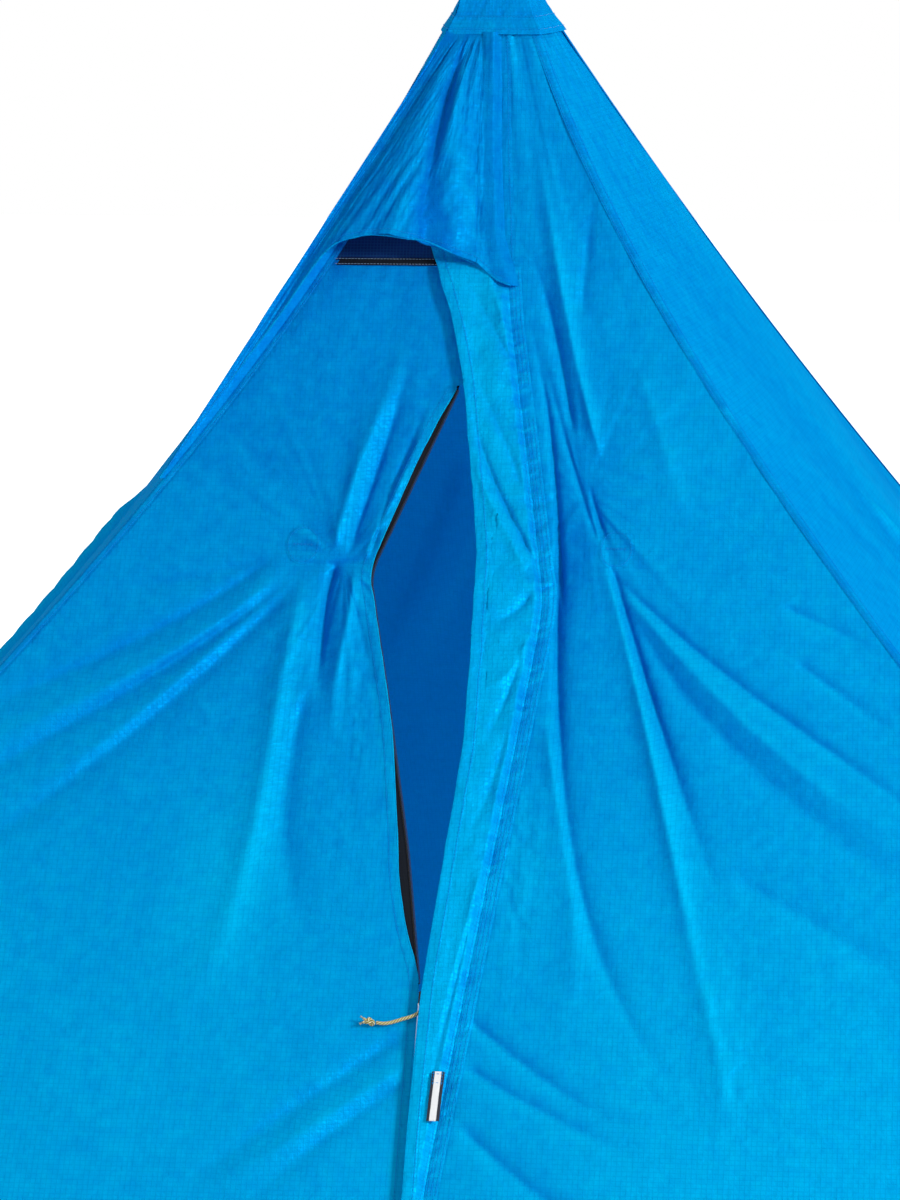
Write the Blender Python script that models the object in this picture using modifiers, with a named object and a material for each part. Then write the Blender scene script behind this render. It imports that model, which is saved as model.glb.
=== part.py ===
"""Single-pole pyramid shelter with a two-way zip door, storm flap and hooded vent.

Metres, +Z up, front at -Y. The origin is on the ground at the middle of the square base.
Cloth pieces are closed shells; the front is a sheet ruled across from ridge to ridge.
"""

from math import cos, hypot, pi, radians, sin

import bmesh
import bpy
import numpy as np
from mathutils import Matrix, Vector

# Canopy
HEIGHT = 1.45
HALF_BASE = 1.15
PEAK_HALF = 0.027
FRONT_RIDGE_HOLLOW = 0.6265
BACK_RIDGE_HOLLOW = 0.2276
SIDE_BELLY = 0.012
CLOTH = 0.0010
HEM_LIFT = 0.0009
GAP = 0.0003
LAP = 0.0005
EDGE_BACK = 0.0016
ROW_STEP = 0.05

# Ridge seams, peak cap and corner patches
SEAM_FLANGE = 0.0075
PATCH_FLANGE = 0.038
PATCH_HEIGHT = 0.105
CAP_BAND_DROP = 0.060
CAP_TOP_ROUND = 0.006
PANEL_TOP_DROP = 0.036
TOP_SEAM_HALF = 0.010
CAP_CLEAR = 0.003
CAP_CROWN = 0.9

# Door, zip and storm flap, as distances below the top of the canopy
ZIP_X = -0.006
ZIP_TOP_DROP = 0.414
SLIT_PINCH_DROP = 0.593
SLIDER_DROP = 0.950
HINGE_TOP_OUT = 0.045
HINGE_FOOT_IN = 0.044
HINGE_GAP = 0.0006
HINGE_STAND = 0.010
STEP_ROW = 0.003
TAPE_WIDTH = 0.008
CHAIN_COIL = 0.0060
CHAIN_RISE = 0.0009
CHAIN_MARGIN = 0.0012
SLIDER_WIDTH = 0.009
SLIDER_LENGTH = 0.012
SLIDER_PLATE = 0.0014
SLIDER_CLEAR = 0.0004
SLIDER_POST = 0.004
SLIDER_POST_HALF = 0.0012
SLIDER_WORN_EDGE = 0.00025
BAIL_HALF = 0.0011
BAIL_REACH = 0.0042
BAIL_LEG = 0.0011
BAIL_RISE = 0.0050
FLAP_RISE = 0.0095
FLAP_RUN = 0.0085
FLAP_SPLIT_DROP = 0.650
FLAP_TAIL_DROP = 1.105
FLAP_JOG = 0.004
FLAP_HINGE_CLEAR = 0.010
FLAP_HINGE_RISE = 0.0026

# Vent and hood
VENT_SILL_DROP = 0.300
BINDING = 0.007
BINDING_WALL = 0.0016
BRIM_SHARE = 0.88
BRIM_GAP = 0.007
BRIM_SIDE_GAP = 0.05
HOOD_LIFT = 0.0048
HOOD_MARGIN = 0.002
HOOD_RISE = 0.008
SEAM_FOOT_RISE = 0.004
MESH_MARGIN = 0.005

# Small sewn pieces
PATCH_DISC = 0.018
TIE_OUT = 0.160
TIE_DROP = 0.567
TAB_WIDTH = 0.012
TAB_LENGTH = 0.052
TAB_DROP = 1.012
TAB_X = 0.0135
CORD = 0.0034
KNOT = (0.0055, 0.0042, 0.0036)

# Corner and hem hardware
BAR_HEIGHT = 0.0064
BAR = 0.003
SLOT = 0.0045
BUCKLE_WIDTH = 0.022
BUCKLE_WALL = 0.003
TAB_STRAP = 0.015
STRAP = 0.0012
TAB_NECK = 0.010
RING_BORE = 0.0027
RING_WALL = 0.0014
LOOP_LENGTH = 0.044
LOOP_OPEN = 0.0085
LOOP_TAIL = 0.010
LOOP_BEND = 0.004
HEM_LOOP_HALF = 0.0018
SLOT_CLEAR = 0.0007

# Centre pole
UPPER_TUBE_R = 0.009
TUBE_WALL = 0.0012
TUBE_CLEAR = 0.0003
UPPER_TUBE_FOOT = 0.62
LOWER_TUBE_TOP = 0.85
FOOT_R = 0.016
FOOT_HEIGHT = 0.032
FOOT_SEAT = 0.012
FOOT_WALL = 0.004
FOOT_EDGE = 0.0015
FOOT_FLARE = 0.007
TIP_R = 0.0075
TIP_DEPTH = 0.022
TIP_FLANGE = 0.004
TIP_CHAMFER = 0.003
CUP_R = 0.017
CUP_LENGTH = 0.050
CUP_ROOF = 0.016
CUP_SHOULDER = 0.004
CUP_LIP = 0.003

# Pole clamp
COLLAR_R = 0.0135
COLLAR_LENGTH = 0.036
COLLAR_EDGE = 0.001
COLLAR_OVERHANG = 0.016
EAR_HALF = 0.0023
EAR_LENGTH = 0.0036
EAR_REACH = 0.003
LEVER_WALL = 0.003
LEVER_CLEAR = 0.0004
LEVER_HUB_R = 0.0028
LEVER_PIN_R = 0.0015
LEVER_START = 12
LEVER_END = 115


# Scene and materials

for old in list(bpy.data.objects):
    bpy.data.objects.remove(old)


def collection(name):
    group = bpy.data.collections.new(name)
    bpy.context.scene.collection.children.link(group)
    return group


SHELTER = collection("pyramid_shelter")
CUTTERS = collection("cutters")


def finish(name, colour, roughness, metallic=0.0):
    material = bpy.data.materials.new(name)
    material.use_nodes = True
    shader = material.node_tree.nodes["Principled BSDF"]
    shader.inputs["Base Color"].default_value = (*colour, 1.0)
    shader.inputs["Roughness"].default_value = roughness
    shader.inputs["Metallic"].default_value = metallic
    return material


BLUE = finish("blue_ripstop", (0.0, 0.23, 0.60), 0.55)
BRIGHT = finish("flap_ripstop", (0.0, 0.36, 0.72), 0.55)
SEAM = finish("felled_seam", (0.0, 0.20, 0.54), 0.6)
NAVY = finish("navy_mesh", (0.002, 0.02, 0.08), 0.8)
BLACK = finish("black_tape", (0.01, 0.01, 0.012), 0.7)
WEBBING = finish("black_webbing", (0.015, 0.015, 0.017), 0.8)
PLASTIC = finish("black_plastic", (0.02, 0.02, 0.02), 0.4)
RUBBER = finish("foot_rubber", (0.02, 0.02, 0.02), 0.9)
ALLOY = finish("pole_alloy", (0.55, 0.56, 0.58), 0.3, 1.0)
REFLECTIVE = finish("reflective_tape", (0.6, 0.6, 0.6), 0.3)
CORD_FINISH = finish("olive_cord", (0.55, 0.50, 0.18), 0.8)


# Shape of the canopy

PANEL_TOP = HEIGHT - PANEL_TOP_DROP
CAP_FOOT = HEIGHT - CAP_BAND_DROP
ZIP_TOP = HEIGHT - ZIP_TOP_DROP
PINCH = HEIGHT - SLIT_PINCH_DROP
SLIDER_Z = HEIGHT - SLIDER_DROP
SILL = HEIGHT - VENT_SILL_DROP
FLAP_SPLIT = HEIGHT - FLAP_SPLIT_DROP
FLAP_TAIL = HEIGHT - FLAP_TAIL_DROP
TIE_Z = HEIGHT - TIE_DROP
CHAIN_HALF = CHAIN_COIL / 2 + CHAIN_MARGIN
SLIDER_HALF = SLIDER_WIDTH / 2 + LAP
UNDER_CAP = CAP_FOOT - CAP_CLEAR
SEAM_FOOT = SILL + SEAM_FOOT_RISE


def ridge_half(z, hollow, squared):
    """Half width of the canopy at height z, measured to a ridge that hangs in a hollow curve."""
    up = z / HEIGHT
    sag = hollow * (up * up if squared else up)
    return PEAK_HALF + (HALF_BASE - PEAK_HALF) * (1 - up) * (1 - sag)


def front_half(z):
    return ridge_half(z, FRONT_RIDGE_HOLLOW, True)


def back_half(z):
    return ridge_half(z, BACK_RIDGE_HOLLOW, False)


def through(points, z):
    """The x of a line drawn through (height, x) points, given from the ground up."""
    heights, offsets = zip(*points)
    return float(np.interp(z, heights, offsets))


def chord(z, low, high):
    """How far a straight run of zip between two heights lies from the hollow front."""
    if not low < z < high:
        return 0.0
    share = (z - low) / (high - low)
    straight = front_half(low) * (1 - share) + front_half(high) * share
    return straight - front_half(z)


STRAIGHT_RUNS = ((0.0, SLIDER_Z + 0.02), (ZIP_TOP - 0.02, SILL + 0.01))
RUN_SPREAD = 0.07


# Main folds of the front, as lines from (x, height) to (x, height) with half width and rise.
# A rise is a crest, a fall is a valley.

def fold_lines():
    top = PINCH
    return (
        ((-0.050, top + 0.255), (-0.118, top + 0.020), 0.016, 0.0050),
        ((-0.022, top + 0.175), (-0.112, top + 0.005), 0.012, 0.0040),
        ((-0.128, top - 0.005), (-0.136, top - 0.200), 0.011, -0.0080),
        ((-0.106, top + 0.005), (-0.095, top - 0.260), 0.016, 0.0070),
        ((-0.160, top - 0.010), (-0.175, top - 0.230), 0.020, 0.0060),
        ((-0.165, top - 0.005), (-0.330, top - 0.170), 0.018, -0.0070),
        ((-0.185, top - 0.020), (-0.520, top - 0.270), 0.026, -0.0075),
        ((-0.185, top + 0.000), (-0.500, top - 0.180), 0.024, 0.0060),
        ((-0.190, top - 0.040), (-0.520, top - 0.125), 0.020, -0.0060),
        ((0.078, top + 0.100), (0.106, top - 0.130), 0.012, -0.0060),
        ((0.124, top + 0.110), (0.200, top - 0.160), 0.018, 0.0090),
        ((0.140, top + 0.070), (0.290, top - 0.330), 0.018, -0.0085),
        ((0.200, top - 0.020), (0.420, top - 0.340), 0.034, 0.0060),
    )


FOLDS = fold_lines()
FOLD_OPENS = 0.25
FOLD_FADES = 0.45
NORMAL_STEP = 0.002
SEAM_CALM = 0.05
FLAP_CALM = 0.015
TIE_CALM = 0.016


def ease(share):
    share = min(max(share, 0.0), 1.0)
    return share * share * (3 - 2 * share)


def fold_height(x, z, fold):
    start, end, spread, rise = fold
    run = (end[0] - start[0], end[1] - start[1])
    length = hypot(*run)
    along = ((x - start[0]) * run[0] + (z - start[1]) * run[1]) / length
    aside = ((x - start[0]) * run[1] - (z - start[1]) * run[0]) / length
    share = along / length
    if not 0 < share < 1:
        return 0.0
    widened = spread * (1 + share)
    taper = ease(share / FOLD_OPENS) * ease((1 - share) / FOLD_FADES)
    return rise * taper * np.exp(-((aside / widened) ** 2))


def relief(x, z):
    """Outward height of the folds, calm beside the ridges, the flap and the tie patches."""
    calm = ease((front_half(z) - abs(x)) / SEAM_CALM)
    calm *= ease((x - flap_seam(z) - FLAP_CALM) / FLAP_CALM) if x > ZIP_X else 1.0
    aside = abs(abs(x - ZIP_X) - TIE_OUT)
    calm *= ease((hypot(aside, z - TIE_Z) - PATCH_DISC - TIE_CALM) / TIE_CALM)
    return calm * sum(fold_height(x, z, fold) for fold in FOLDS)


def flap_seam(z):
    """Where the storm flap is sewn to the right door."""
    return through(
        (
            (0.0, 0.0100),
            (FLAP_TAIL, 0.0085),
            (FLAP_SPLIT, 0.0810),
            (PINCH - 0.02, 0.0850),
            (PINCH + 0.09, 0.0620),
            (SILL, 0.0330),
        ),
        z,
    )


def flap_edge(z):
    """Free edge of the storm flap."""
    return through(
        (
            (0.0, ZIP_X - 0.0045),
            (SLIDER_Z - 0.10, ZIP_X - 0.0045),
            (SLIDER_Z, ZIP_X - 0.0015),
            (SLIDER_Z + 0.11, 0.0040),
            (PINCH - 0.15, 0.0150),
            (PINCH + 0.02, 0.0140),
            (ZIP_TOP, ZIP_X - 0.0060),
            (SILL - 0.06, -0.0260),
            (SILL + 0.02, -0.0560),
        ),
        z,
    )


def front(x, z, lift=0.0):
    """Point on the outer face of the front, or lift above it."""
    def depth(u, w):
        near = np.exp(-(((u - ZIP_X) / RUN_SPREAD) ** 2))
        flat = sum(chord(w, *run) for run in STRAIGHT_RUNS)
        return front_half(w) + flat * near + relief(u, w)

    point = Vector((x, -depth(x, z), z))
    if not lift:
        return point
    step = NORMAL_STEP
    across = (depth(x + step, z) - depth(x - step, z)) / (2 * step)
    upward = (depth(x, z + step) - depth(x, z - step)) / (2 * step)
    return point + Vector((-across, -1.0, -upward)).normalized() * lift


CORNERS = {
    "front_left": (-1, -1, front_half),
    "front_right": (1, -1, front_half),
    "back_right": (1, 1, back_half),
    "back_left": (-1, 1, back_half),
}
WALLS = {
    "front": ("front_left", "front_right"),
    "right": ("front_right", "back_right"),
    "back": ("back_right", "back_left"),
    "left": ("back_left", "front_left"),
}


def corner(name, z):
    side, way, half = CORNERS[name]
    return Vector((side * half(z), way * half(z), z))


def wall(name, along, z, lift=0.0):
    """Point on a wall, along metres from its left ridge as seen from outside, or from its
    right ridge where along is negative."""
    def place(w, distance):
        left, right = (corner(end, w) for end in WALLS[name])
        run = right - left
        share = distance / run.length if distance >= 0 else 1 + distance / run.length
        outward = Vector((run.y, -run.x, 0)).normalized()
        belly = 0.0 if name == "front" else SIDE_BELLY * sin(pi * min(w / CAP_FOOT, 1))
        return left + run * share + outward * belly * 4 * share * (1 - share)

    point = place(z, along)
    if not lift:
        return point
    step = NORMAL_STEP
    left, right = (corner(end, z) for end in WALLS[name])
    across = (right - left).normalized()
    upward = (place(z + step, along) - place(z - step, along)).normalized()
    return point + across.cross(upward).normalized() * lift


def heights(low, high, *extra):
    """Shared row heights, so that neighbouring cloth bends at the same places."""
    shared = [n * ROW_STEP for n in range(int(HEIGHT / ROW_STEP) + 1)]
    kept = [z for z in (*shared, PINCH, *extra) if low + 0.006 < z < high - 0.006]
    return sorted({round(z, 6) for z in (low, *kept, high)})


def add(name, mesh, material, place=None):
    mesh.materials.clear()
    mesh.materials.append(material)
    made = bpy.data.objects.new(name, mesh)
    if place is not None:
        made.matrix_world = place
    SHELTER.objects.link(made)
    return made


def sheet(name, material, columns, levels, place, wall_thickness=CLOTH, outside=False, pivot=None):
    """A cloth shell: a grid laid over place(share across, height), thickened to one side."""
    pivot = pivot or Vector((0, 0, 0))
    grid = bmesh.new()
    rows = len(levels) - 1
    bmesh.ops.create_grid(grid, x_segments=columns, y_segments=rows, size=1.0)
    for vertex in grid.verts:
        share = round((vertex.co.x + 1) / 2 * columns) / columns
        level = levels[round((vertex.co.y + 1) / 2 * rows)]
        vertex.co = place(share, level) - pivot
    mesh = bpy.data.meshes.new(name)
    grid.to_mesh(mesh)
    grid.free()
    mesh.shade_smooth()
    made = add(name, mesh, material, Matrix.Translation(pivot))
    shell = made.modifiers.new("cloth", "SOLIDIFY")
    shell.thickness = wall_thickness
    shell.offset = 1.0 if outside else -1.0
    shell.use_even_offset = True
    return made


def between(low, high):
    return lambda share, z: front(low(z) + (high(z) - low(z)) * share, z)


# Door hinge lines, from beside the top of the zip down to the hem near each front corner. The
# cloth bows in and out along them, so each straight axis stands clear of the outermost bow.

HINGE_TOP_Z = ZIP_TOP
HINGE_FOOT_X = HALF_BASE - HINGE_FOOT_IN


def hinge_ends(side):
    top_x = ZIP_X + side * HINGE_TOP_OUT
    foot_x = side * HINGE_FOOT_X
    return (
        Vector((top_x, -front_half(HINGE_TOP_Z) - HINGE_STAND, HINGE_TOP_Z)),
        Vector((foot_x, -front_half(HEM_LIFT) - HINGE_STAND, HEM_LIFT)),
    )


def hinge_x(side, z):
    top, foot = hinge_ends(side)
    return foot.x + (top.x - foot.x) * (z - foot.z) / (top.z - foot.z)


def tape_edge_left(z):
    closed = ZIP_X - SLIDER_HALF
    return through(
        (
            (0.0, closed),
            (SLIDER_Z + 0.01, closed),
            (SLIDER_Z + 0.12, -0.0330),
            (PINCH - 0.093, -0.0700),
            (PINCH, -0.0950),
            (ZIP_TOP, closed - 0.0045),
        ),
        z,
    )


def tape_edge_right(z):
    closed = ZIP_X + SLIDER_HALF
    return through(
        (
            (0.0, closed),
            (SLIDER_Z + 0.01, closed),
            (SLIDER_Z + 0.10, 0.0120),
            (PINCH - 0.157, 0.0230),
            (PINCH + 0.023, 0.0220),
            (PINCH + 0.093, 0.0120),
            (ZIP_TOP, closed),
        ),
        z,
    )


DOOR_TOP = ZIP_TOP - 4 * GAP
DOOR_COLUMNS = 15


def seam_x(z):
    """Middle of the seam between the hood and the right front panel."""
    return through(
        ((SILL - 0.02, 0.0260), (HEIGHT - 0.182, 0.0140), (CAP_FOOT, 0.0080), (HEIGHT, 0.0060)), z
    )


# Front panels that stay put, doors and zip tapes

def build_front():
    def left_out(z):
        return -front_half(z) + EDGE_BACK

    def left_in(z):
        if z > ZIP_TOP + STEP_ROW / 2:
            return ZIP_X - SLIDER_HALF
        return hinge_x(-1, z)

    def right_in(z):
        if z > SILL - STEP_ROW / 2:
            return seam_x(z) + GAP
        if z > ZIP_TOP + STEP_ROW / 2:
            return ZIP_X + SLIDER_HALF
        return hinge_x(1, z)

    def right_out(z):
        return front_half(z) - EDGE_BACK

    step = ZIP_TOP + STEP_ROW
    low = heights(HEM_LIFT, ZIP_TOP)
    middle = heights(step, SILL - STEP_ROW)
    top = heights(SILL, PANEL_TOP)
    sheet("front_left_panel", BLUE, 7, low + heights(step, SILL), between(left_out, left_in))
    sheet("front_right_panel", BLUE, 7, low + middle + top, between(right_in, right_out))

    build_door("left", -1, tape_edge_left)
    build_door("right", 1, tape_edge_right)


def build_door(word, side, tape):
    """A door half, from its zip tape out to the line that it folds on."""
    _, foot = hinge_ends(side)

    def inner(z):
        return tape(z) + side * TAPE_WIDTH

    def seam(z):
        return tape(z) + side * (TAPE_WIDTH + GAP)

    def fold(z):
        return hinge_x(side, z) - side * HINGE_GAP

    levels = heights(HEM_LIFT, DOOR_TOP)
    cloth = between(fold, seam) if side < 0 else between(seam, fold)
    strip = between(inner, tape) if side < 0 else between(tape, inner)
    sheet(f"{word}_door", BLUE, DOOR_COLUMNS, levels, cloth, pivot=foot)
    sheet(f"zip_tape_{word}", BLACK, 1, levels, strip, pivot=foot)


# Storm flap: three lengths along one sewn line, standing clear of the zip

def flap_point(edge, seam):
    def place(share, z):
        x = edge(z) + (seam(z) - edge(z)) * share
        away = flap_seam(z) - x
        lift = LAP + FLAP_RISE * ease(away / FLAP_RUN)
        return front(x, z, lift)

    return place


def flap_hinge():
    high = front(flap_seam(FLAP_SPLIT), FLAP_SPLIT, LAP + FLAP_HINGE_RISE)
    low = front(flap_seam(FLAP_TAIL), FLAP_TAIL, LAP + FLAP_HINGE_RISE)
    return low, (high - low).normalized()


def build_flap():
    def short_seam(z):
        return min(flap_seam(z), hinge_x(1, z) - FLAP_HINGE_CLEAR)

    _, foot = hinge_ends(1)
    pivot, _ = flap_hinge()
    top_place = flap_point(flap_edge, flap_seam)
    door_place = flap_point(flap_edge, short_seam)
    free_place = flap_point(flap_edge, lambda z: flap_seam(z) - LAP)
    top = heights(ZIP_TOP + FLAP_JOG, SEAM_FOOT - LAP * 2)
    upper = heights(FLAP_SPLIT + LAP, DOOR_TOP - FLAP_JOG)
    lower = heights(FLAP_TAIL + LAP, FLAP_SPLIT - LAP)
    tail = heights(HEM_LIFT + CLOTH, FLAP_TAIL - LAP)
    sheet("storm_flap_top", BRIGHT, 5, top, top_place, outside=True)
    sheet("storm_flap_upper", BRIGHT, 5, upper, door_place, outside=True, pivot=foot)
    sheet("storm_flap_lower", BRIGHT, 5, lower, free_place, outside=True, pivot=pivot)
    sheet("storm_flap_tail", BRIGHT, 3, tail, top_place, outside=True, pivot=foot)


# Side and back panels, ridge seams, corner patches

def build_walls():
    def panel(name):
        def place(share, z):
            left, right = (corner(end, z) for end in WALLS[name])
            span = (right - left).length
            return wall(name, EDGE_BACK + (span - 2 * EDGE_BACK) * share, z)

        return place

    levels = heights(HEM_LIFT, PANEL_TOP)
    sheet("right_side_panel", BLUE, 4, levels, panel("right"))
    sheet("back_panel", BLUE, 4, levels, panel("back"))
    sheet("left_side_panel", BLUE, 4, levels, panel("left"))


def ridge_strip(name, end, low, high, flange, material):
    """A folded strip over one ridge: a flange on each wall and the ridge between them."""
    before = next(key for key, ends in WALLS.items() if ends[1] == end)
    after = next(key for key, ends in WALLS.items() if ends[0] == end)

    def place(share, z):
        if share < 0.25:
            return wall(before, -flange, z, LAP)
        if share > 0.75:
            return wall(after, flange, z, LAP)
        out = (wall(before, -flange, z, 1.0) - wall(before, -flange, z)).normalized()
        side = (wall(after, flange, z, 1.0) - wall(after, flange, z)).normalized()
        return corner(end, z) + (out + side) * LAP / (1 + out.dot(side))

    sheet(name, material, 2, heights(low, high), place, outside=True)


def build_ridges():
    for end in CORNERS:
        ridge_strip(
            f"ridge_seam_{end}", end, PATCH_HEIGHT + GAP, UNDER_CAP, SEAM_FLANGE, SEAM
        )
        ridge_strip(f"corner_patch_{end}", end, HEM_LIFT + CLOTH, PATCH_HEIGHT, PATCH_FLANGE, SEAM)


# Peak cap: rings that follow the canopy's corners and walls, closed over the top

def build_cap():
    order = ("front_left", "front_right", "back_right", "back_left")
    lift = LAP + CLOTH

    def ring(z, grow):
        points = []
        for n, end in enumerate(order):
            here = corner(end, z)
            after = corner(order[(n + 1) % 4], z)
            reach = Vector((here.x, here.y, 0)).normalized() * grow * 2 ** 0.5
            ahead = Vector((after.x, after.y, 0)).normalized() * grow * 2 ** 0.5
            points.append(here + reach)
            points.append((here + reach + after + ahead) / 2)
        return points

    band = CAP_FOOT
    shoulder = HEIGHT - CAP_TOP_ROUND
    rings = [ring(z, lift) for z in (band, PANEL_TOP, shoulder)]
    rings.append([Vector((p.x * CAP_CROWN, p.y * CAP_CROWN, HEIGHT)) for p in ring(HEIGHT, lift)])
    body = bmesh.new()
    loops = [[body.verts.new(p) for p in points] for points in rings]
    for lower, upper in zip(loops, loops[1:]):
        for n in range(8):
            after = (n + 1) % 8
            body.faces.new((lower[n], lower[after], upper[after], upper[n]))
    body.faces.new(loops[-1])
    bmesh.ops.recalc_face_normals(body, faces=body.faces)
    mesh = bpy.data.meshes.new("peak_cap")
    body.to_mesh(mesh)
    body.free()
    made = add("peak_cap", mesh, SEAM)
    shell = made.modifiers.new("cloth", "SOLIDIFY")
    shell.thickness = CLOTH
    shell.offset = 1.0
    shell.use_even_offset = True


# Vent: mesh, binding, hood, brim and the seam beside them

def brim_stations():
    """Points of the hood's free edge: x, height and how far it stands off the front."""
    foot = HEIGHT - 0.507
    return (
        (-front_half(foot) - HOOD_LIFT - LAP, foot, HOOD_LIFT + LAP),
        (-front_half(SILL - 0.113) - 0.012, SILL - 0.113, 0.014),
        (-front_half(SILL - 0.049) - 0.010, SILL - 0.049, 0.024),
        (-front_half(SILL + 0.017) - 0.006, SILL + 0.017, 0.040),
        (-0.130, SILL + 0.033, 0.048),
        (-0.105, SILL + 0.035, 0.050),
        (-0.080, SILL + 0.032, 0.050),
        (-0.055, SILL + 0.028, 0.047),
        (-0.009, SILL + 0.010, 0.028),
    )


BRIM_FIRST, BRIM_LAST = 4, 9
HOOD_COLUMNS = 11


def hood_point(station, share):
    """Point on the hood: station counts across from the left ridge, share runs from cap to brim."""
    stations = brim_stations()
    top = UNDER_CAP
    last = len(stations)
    if station == 0:
        z = top + (stations[0][1] - top) * share
        return corner("front_left", z) + Vector((-HOOD_LIFT, -HOOD_LIFT, 0))
    if station > last:
        z = top + (SEAM_FOOT - top) * share
        inset = GAP if station == HOOD_COLUMNS else TOP_SEAM_HALF + HOOD_MARGIN
        return front(seam_x(z) - inset, z)
    x, z, stand = stations[station - 1]
    foot = Vector((x, -front_half(z) - stand, z))
    spread = (station - 1) / (last - 1)
    right = seam_x(top) - TOP_SEAM_HALF - HOOD_RISE
    edge = -front_half(top) * (1 - spread) + right * spread
    start = Vector((edge, -front_half(top) - HOOD_LIFT, top))
    if station == 1:
        start.x -= HOOD_LIFT
    return start.lerp(foot, share)


def build_hood():
    rows = [n / 8 for n in range(9)]

    def panel(share, level):
        station = round(share * HOOD_COLUMNS)
        whole = station < BRIM_FIRST or station > BRIM_LAST
        reach = 1.0 if whole else BRIM_SHARE
        return hood_point(station, reach * (1 - level))

    hood = sheet("vent_hood", BLUE, HOOD_COLUMNS, rows, panel)
    hood.modifiers["cloth"].use_even_offset = False

    pivot, _ = brim_hinge()
    span = BRIM_LAST - BRIM_FIRST

    def brim(share, level):
        station = BRIM_FIRST + round(share * span)
        reach = 1 - (1 - BRIM_SHARE - BRIM_GAP) * level
        inward = {BRIM_FIRST: 1, BRIM_LAST: -1}.get(station, 0)
        beside = hood_point(station + inward, reach)
        return hood_point(station, reach).lerp(beside, BRIM_SIDE_GAP)

    sheet("hood_brim", BLUE, span, [0.0, 0.5, 1.0], brim, pivot=pivot)


def brim_hinge():
    near = BRIM_SHARE + BRIM_GAP
    left = hood_point(BRIM_FIRST, near)
    right = hood_point(BRIM_LAST, near)
    return left, (right - left).normalized()


def build_vent():
    def mesh_left(z):
        return -front_half(z) + EDGE_BACK

    def mesh_right(z):
        return seam_x(z) - TOP_SEAM_HALF - MESH_MARGIN

    low = SILL + GAP
    sheet("vent_binding", BLACK, 6, [low, low + BINDING],
          between(mesh_left, lambda z: ZIP_X + CHAIN_HALF), BINDING_WALL)
    sheet("vent_mesh", NAVY, 6, heights(low + BINDING + GAP, PANEL_TOP),
          between(mesh_left, mesh_right), BINDING_WALL / 2)

    def band(share, z):
        return front(seam_x(z) + TOP_SEAM_HALF * (2 * share - 1), z, LAP)

    sheet("top_seam", SEAM, 2, heights(SEAM_FOOT, UNDER_CAP), band, outside=True)


# Zip: straight closed chains, sliders that run on them, cord pull and its knot

def zip_frame(z):
    """Axes on the straight zip at height z: across, up along the zip, out of the cloth."""
    here = front(ZIP_X, z)
    across = Vector((1, 0, 0))
    along = (front(ZIP_X, z + 0.005) - front(ZIP_X, z - 0.005)).normalized()
    out = across.cross(along)
    axes = Matrix((across, along, out)).transposed().to_4x4()
    return Matrix.Translation(here) @ axes


def outline(name, loops, half, material, place):
    """A flat outline, with any further loops as holes, extruded to both sides."""
    curve = bpy.data.curves.new(name, "CURVE")
    curve.dimensions = "2D"
    curve.fill_mode = "BOTH"
    curve.extrude = half
    for loop in loops:
        spline = curve.splines.new("POLY")
        spline.points.add(len(loop) - 1)
        for point, (x, y) in zip(spline.points, loop):
            point.co = (x, y, 0, 1)
        spline.use_cyclic_u = True
    curve.materials.append(material)
    made = bpy.data.objects.new(name, curve)
    made.matrix_world = place
    SHELTER.objects.link(made)
    return made


def arc(x, y, radius, start, end, steps):
    turns = [radians(start + (end - start) * n / steps) for n in range(steps + 1)]
    return [(x + radius * cos(turn), y + radius * sin(turn)) for turn in turns]


def chain(name, low, high):
    """The closed zip between two heights: a raised coil with a thin margin on each side."""
    coil, margin = CHAIN_COIL / 2, CHAIN_HALF
    top, under = CHAIN_RISE, -CLOTH - CHAIN_RISE
    section = [
        (margin, 0), (coil, 0), (coil, top), (-coil, top), (-coil, 0), (-margin, 0),
        (-margin, -CLOTH), (-coil, -CLOTH), (-coil, under), (coil, under),
        (coil, -CLOTH), (margin, -CLOTH),
    ]
    ends = zip_frame(low).translation, zip_frame(high).translation
    middle = zip_frame((low + high) / 2)
    turn = Matrix.Rotation(radians(90), 4, "X")
    middle.translation = (ends[0] + ends[1]) / 2
    outline(name, [section], (ends[1] - ends[0]).length / 2, BLACK, middle @ turn)


def block(name, low, high, group, place=None):
    """A box between two corners."""
    box = bmesh.new()
    bmesh.ops.create_cube(box, size=1.0)
    for vertex in box.verts:
        vertex.co = Vector([low[n] if vertex.co[n] < 0 else high[n] for n in range(3)])
    mesh = bpy.data.meshes.new(name)
    box.to_mesh(mesh)
    box.free()
    made = bpy.data.objects.new(name, mesh)
    if place is not None:
        made.matrix_world = place
    group.objects.link(made)
    return made


def helper(name, low, high, place):
    made = block(name, low, high, CUTTERS, place)
    made.hide_render = True
    made.display_type = "WIRE"
    return made


def combine(made, other, operation):
    step = made.modifiers.new(other.name, "BOOLEAN")
    step.operation = operation
    step.object = other
    step.solver = "EXACT"


OVERCUT = 0.002


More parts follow.
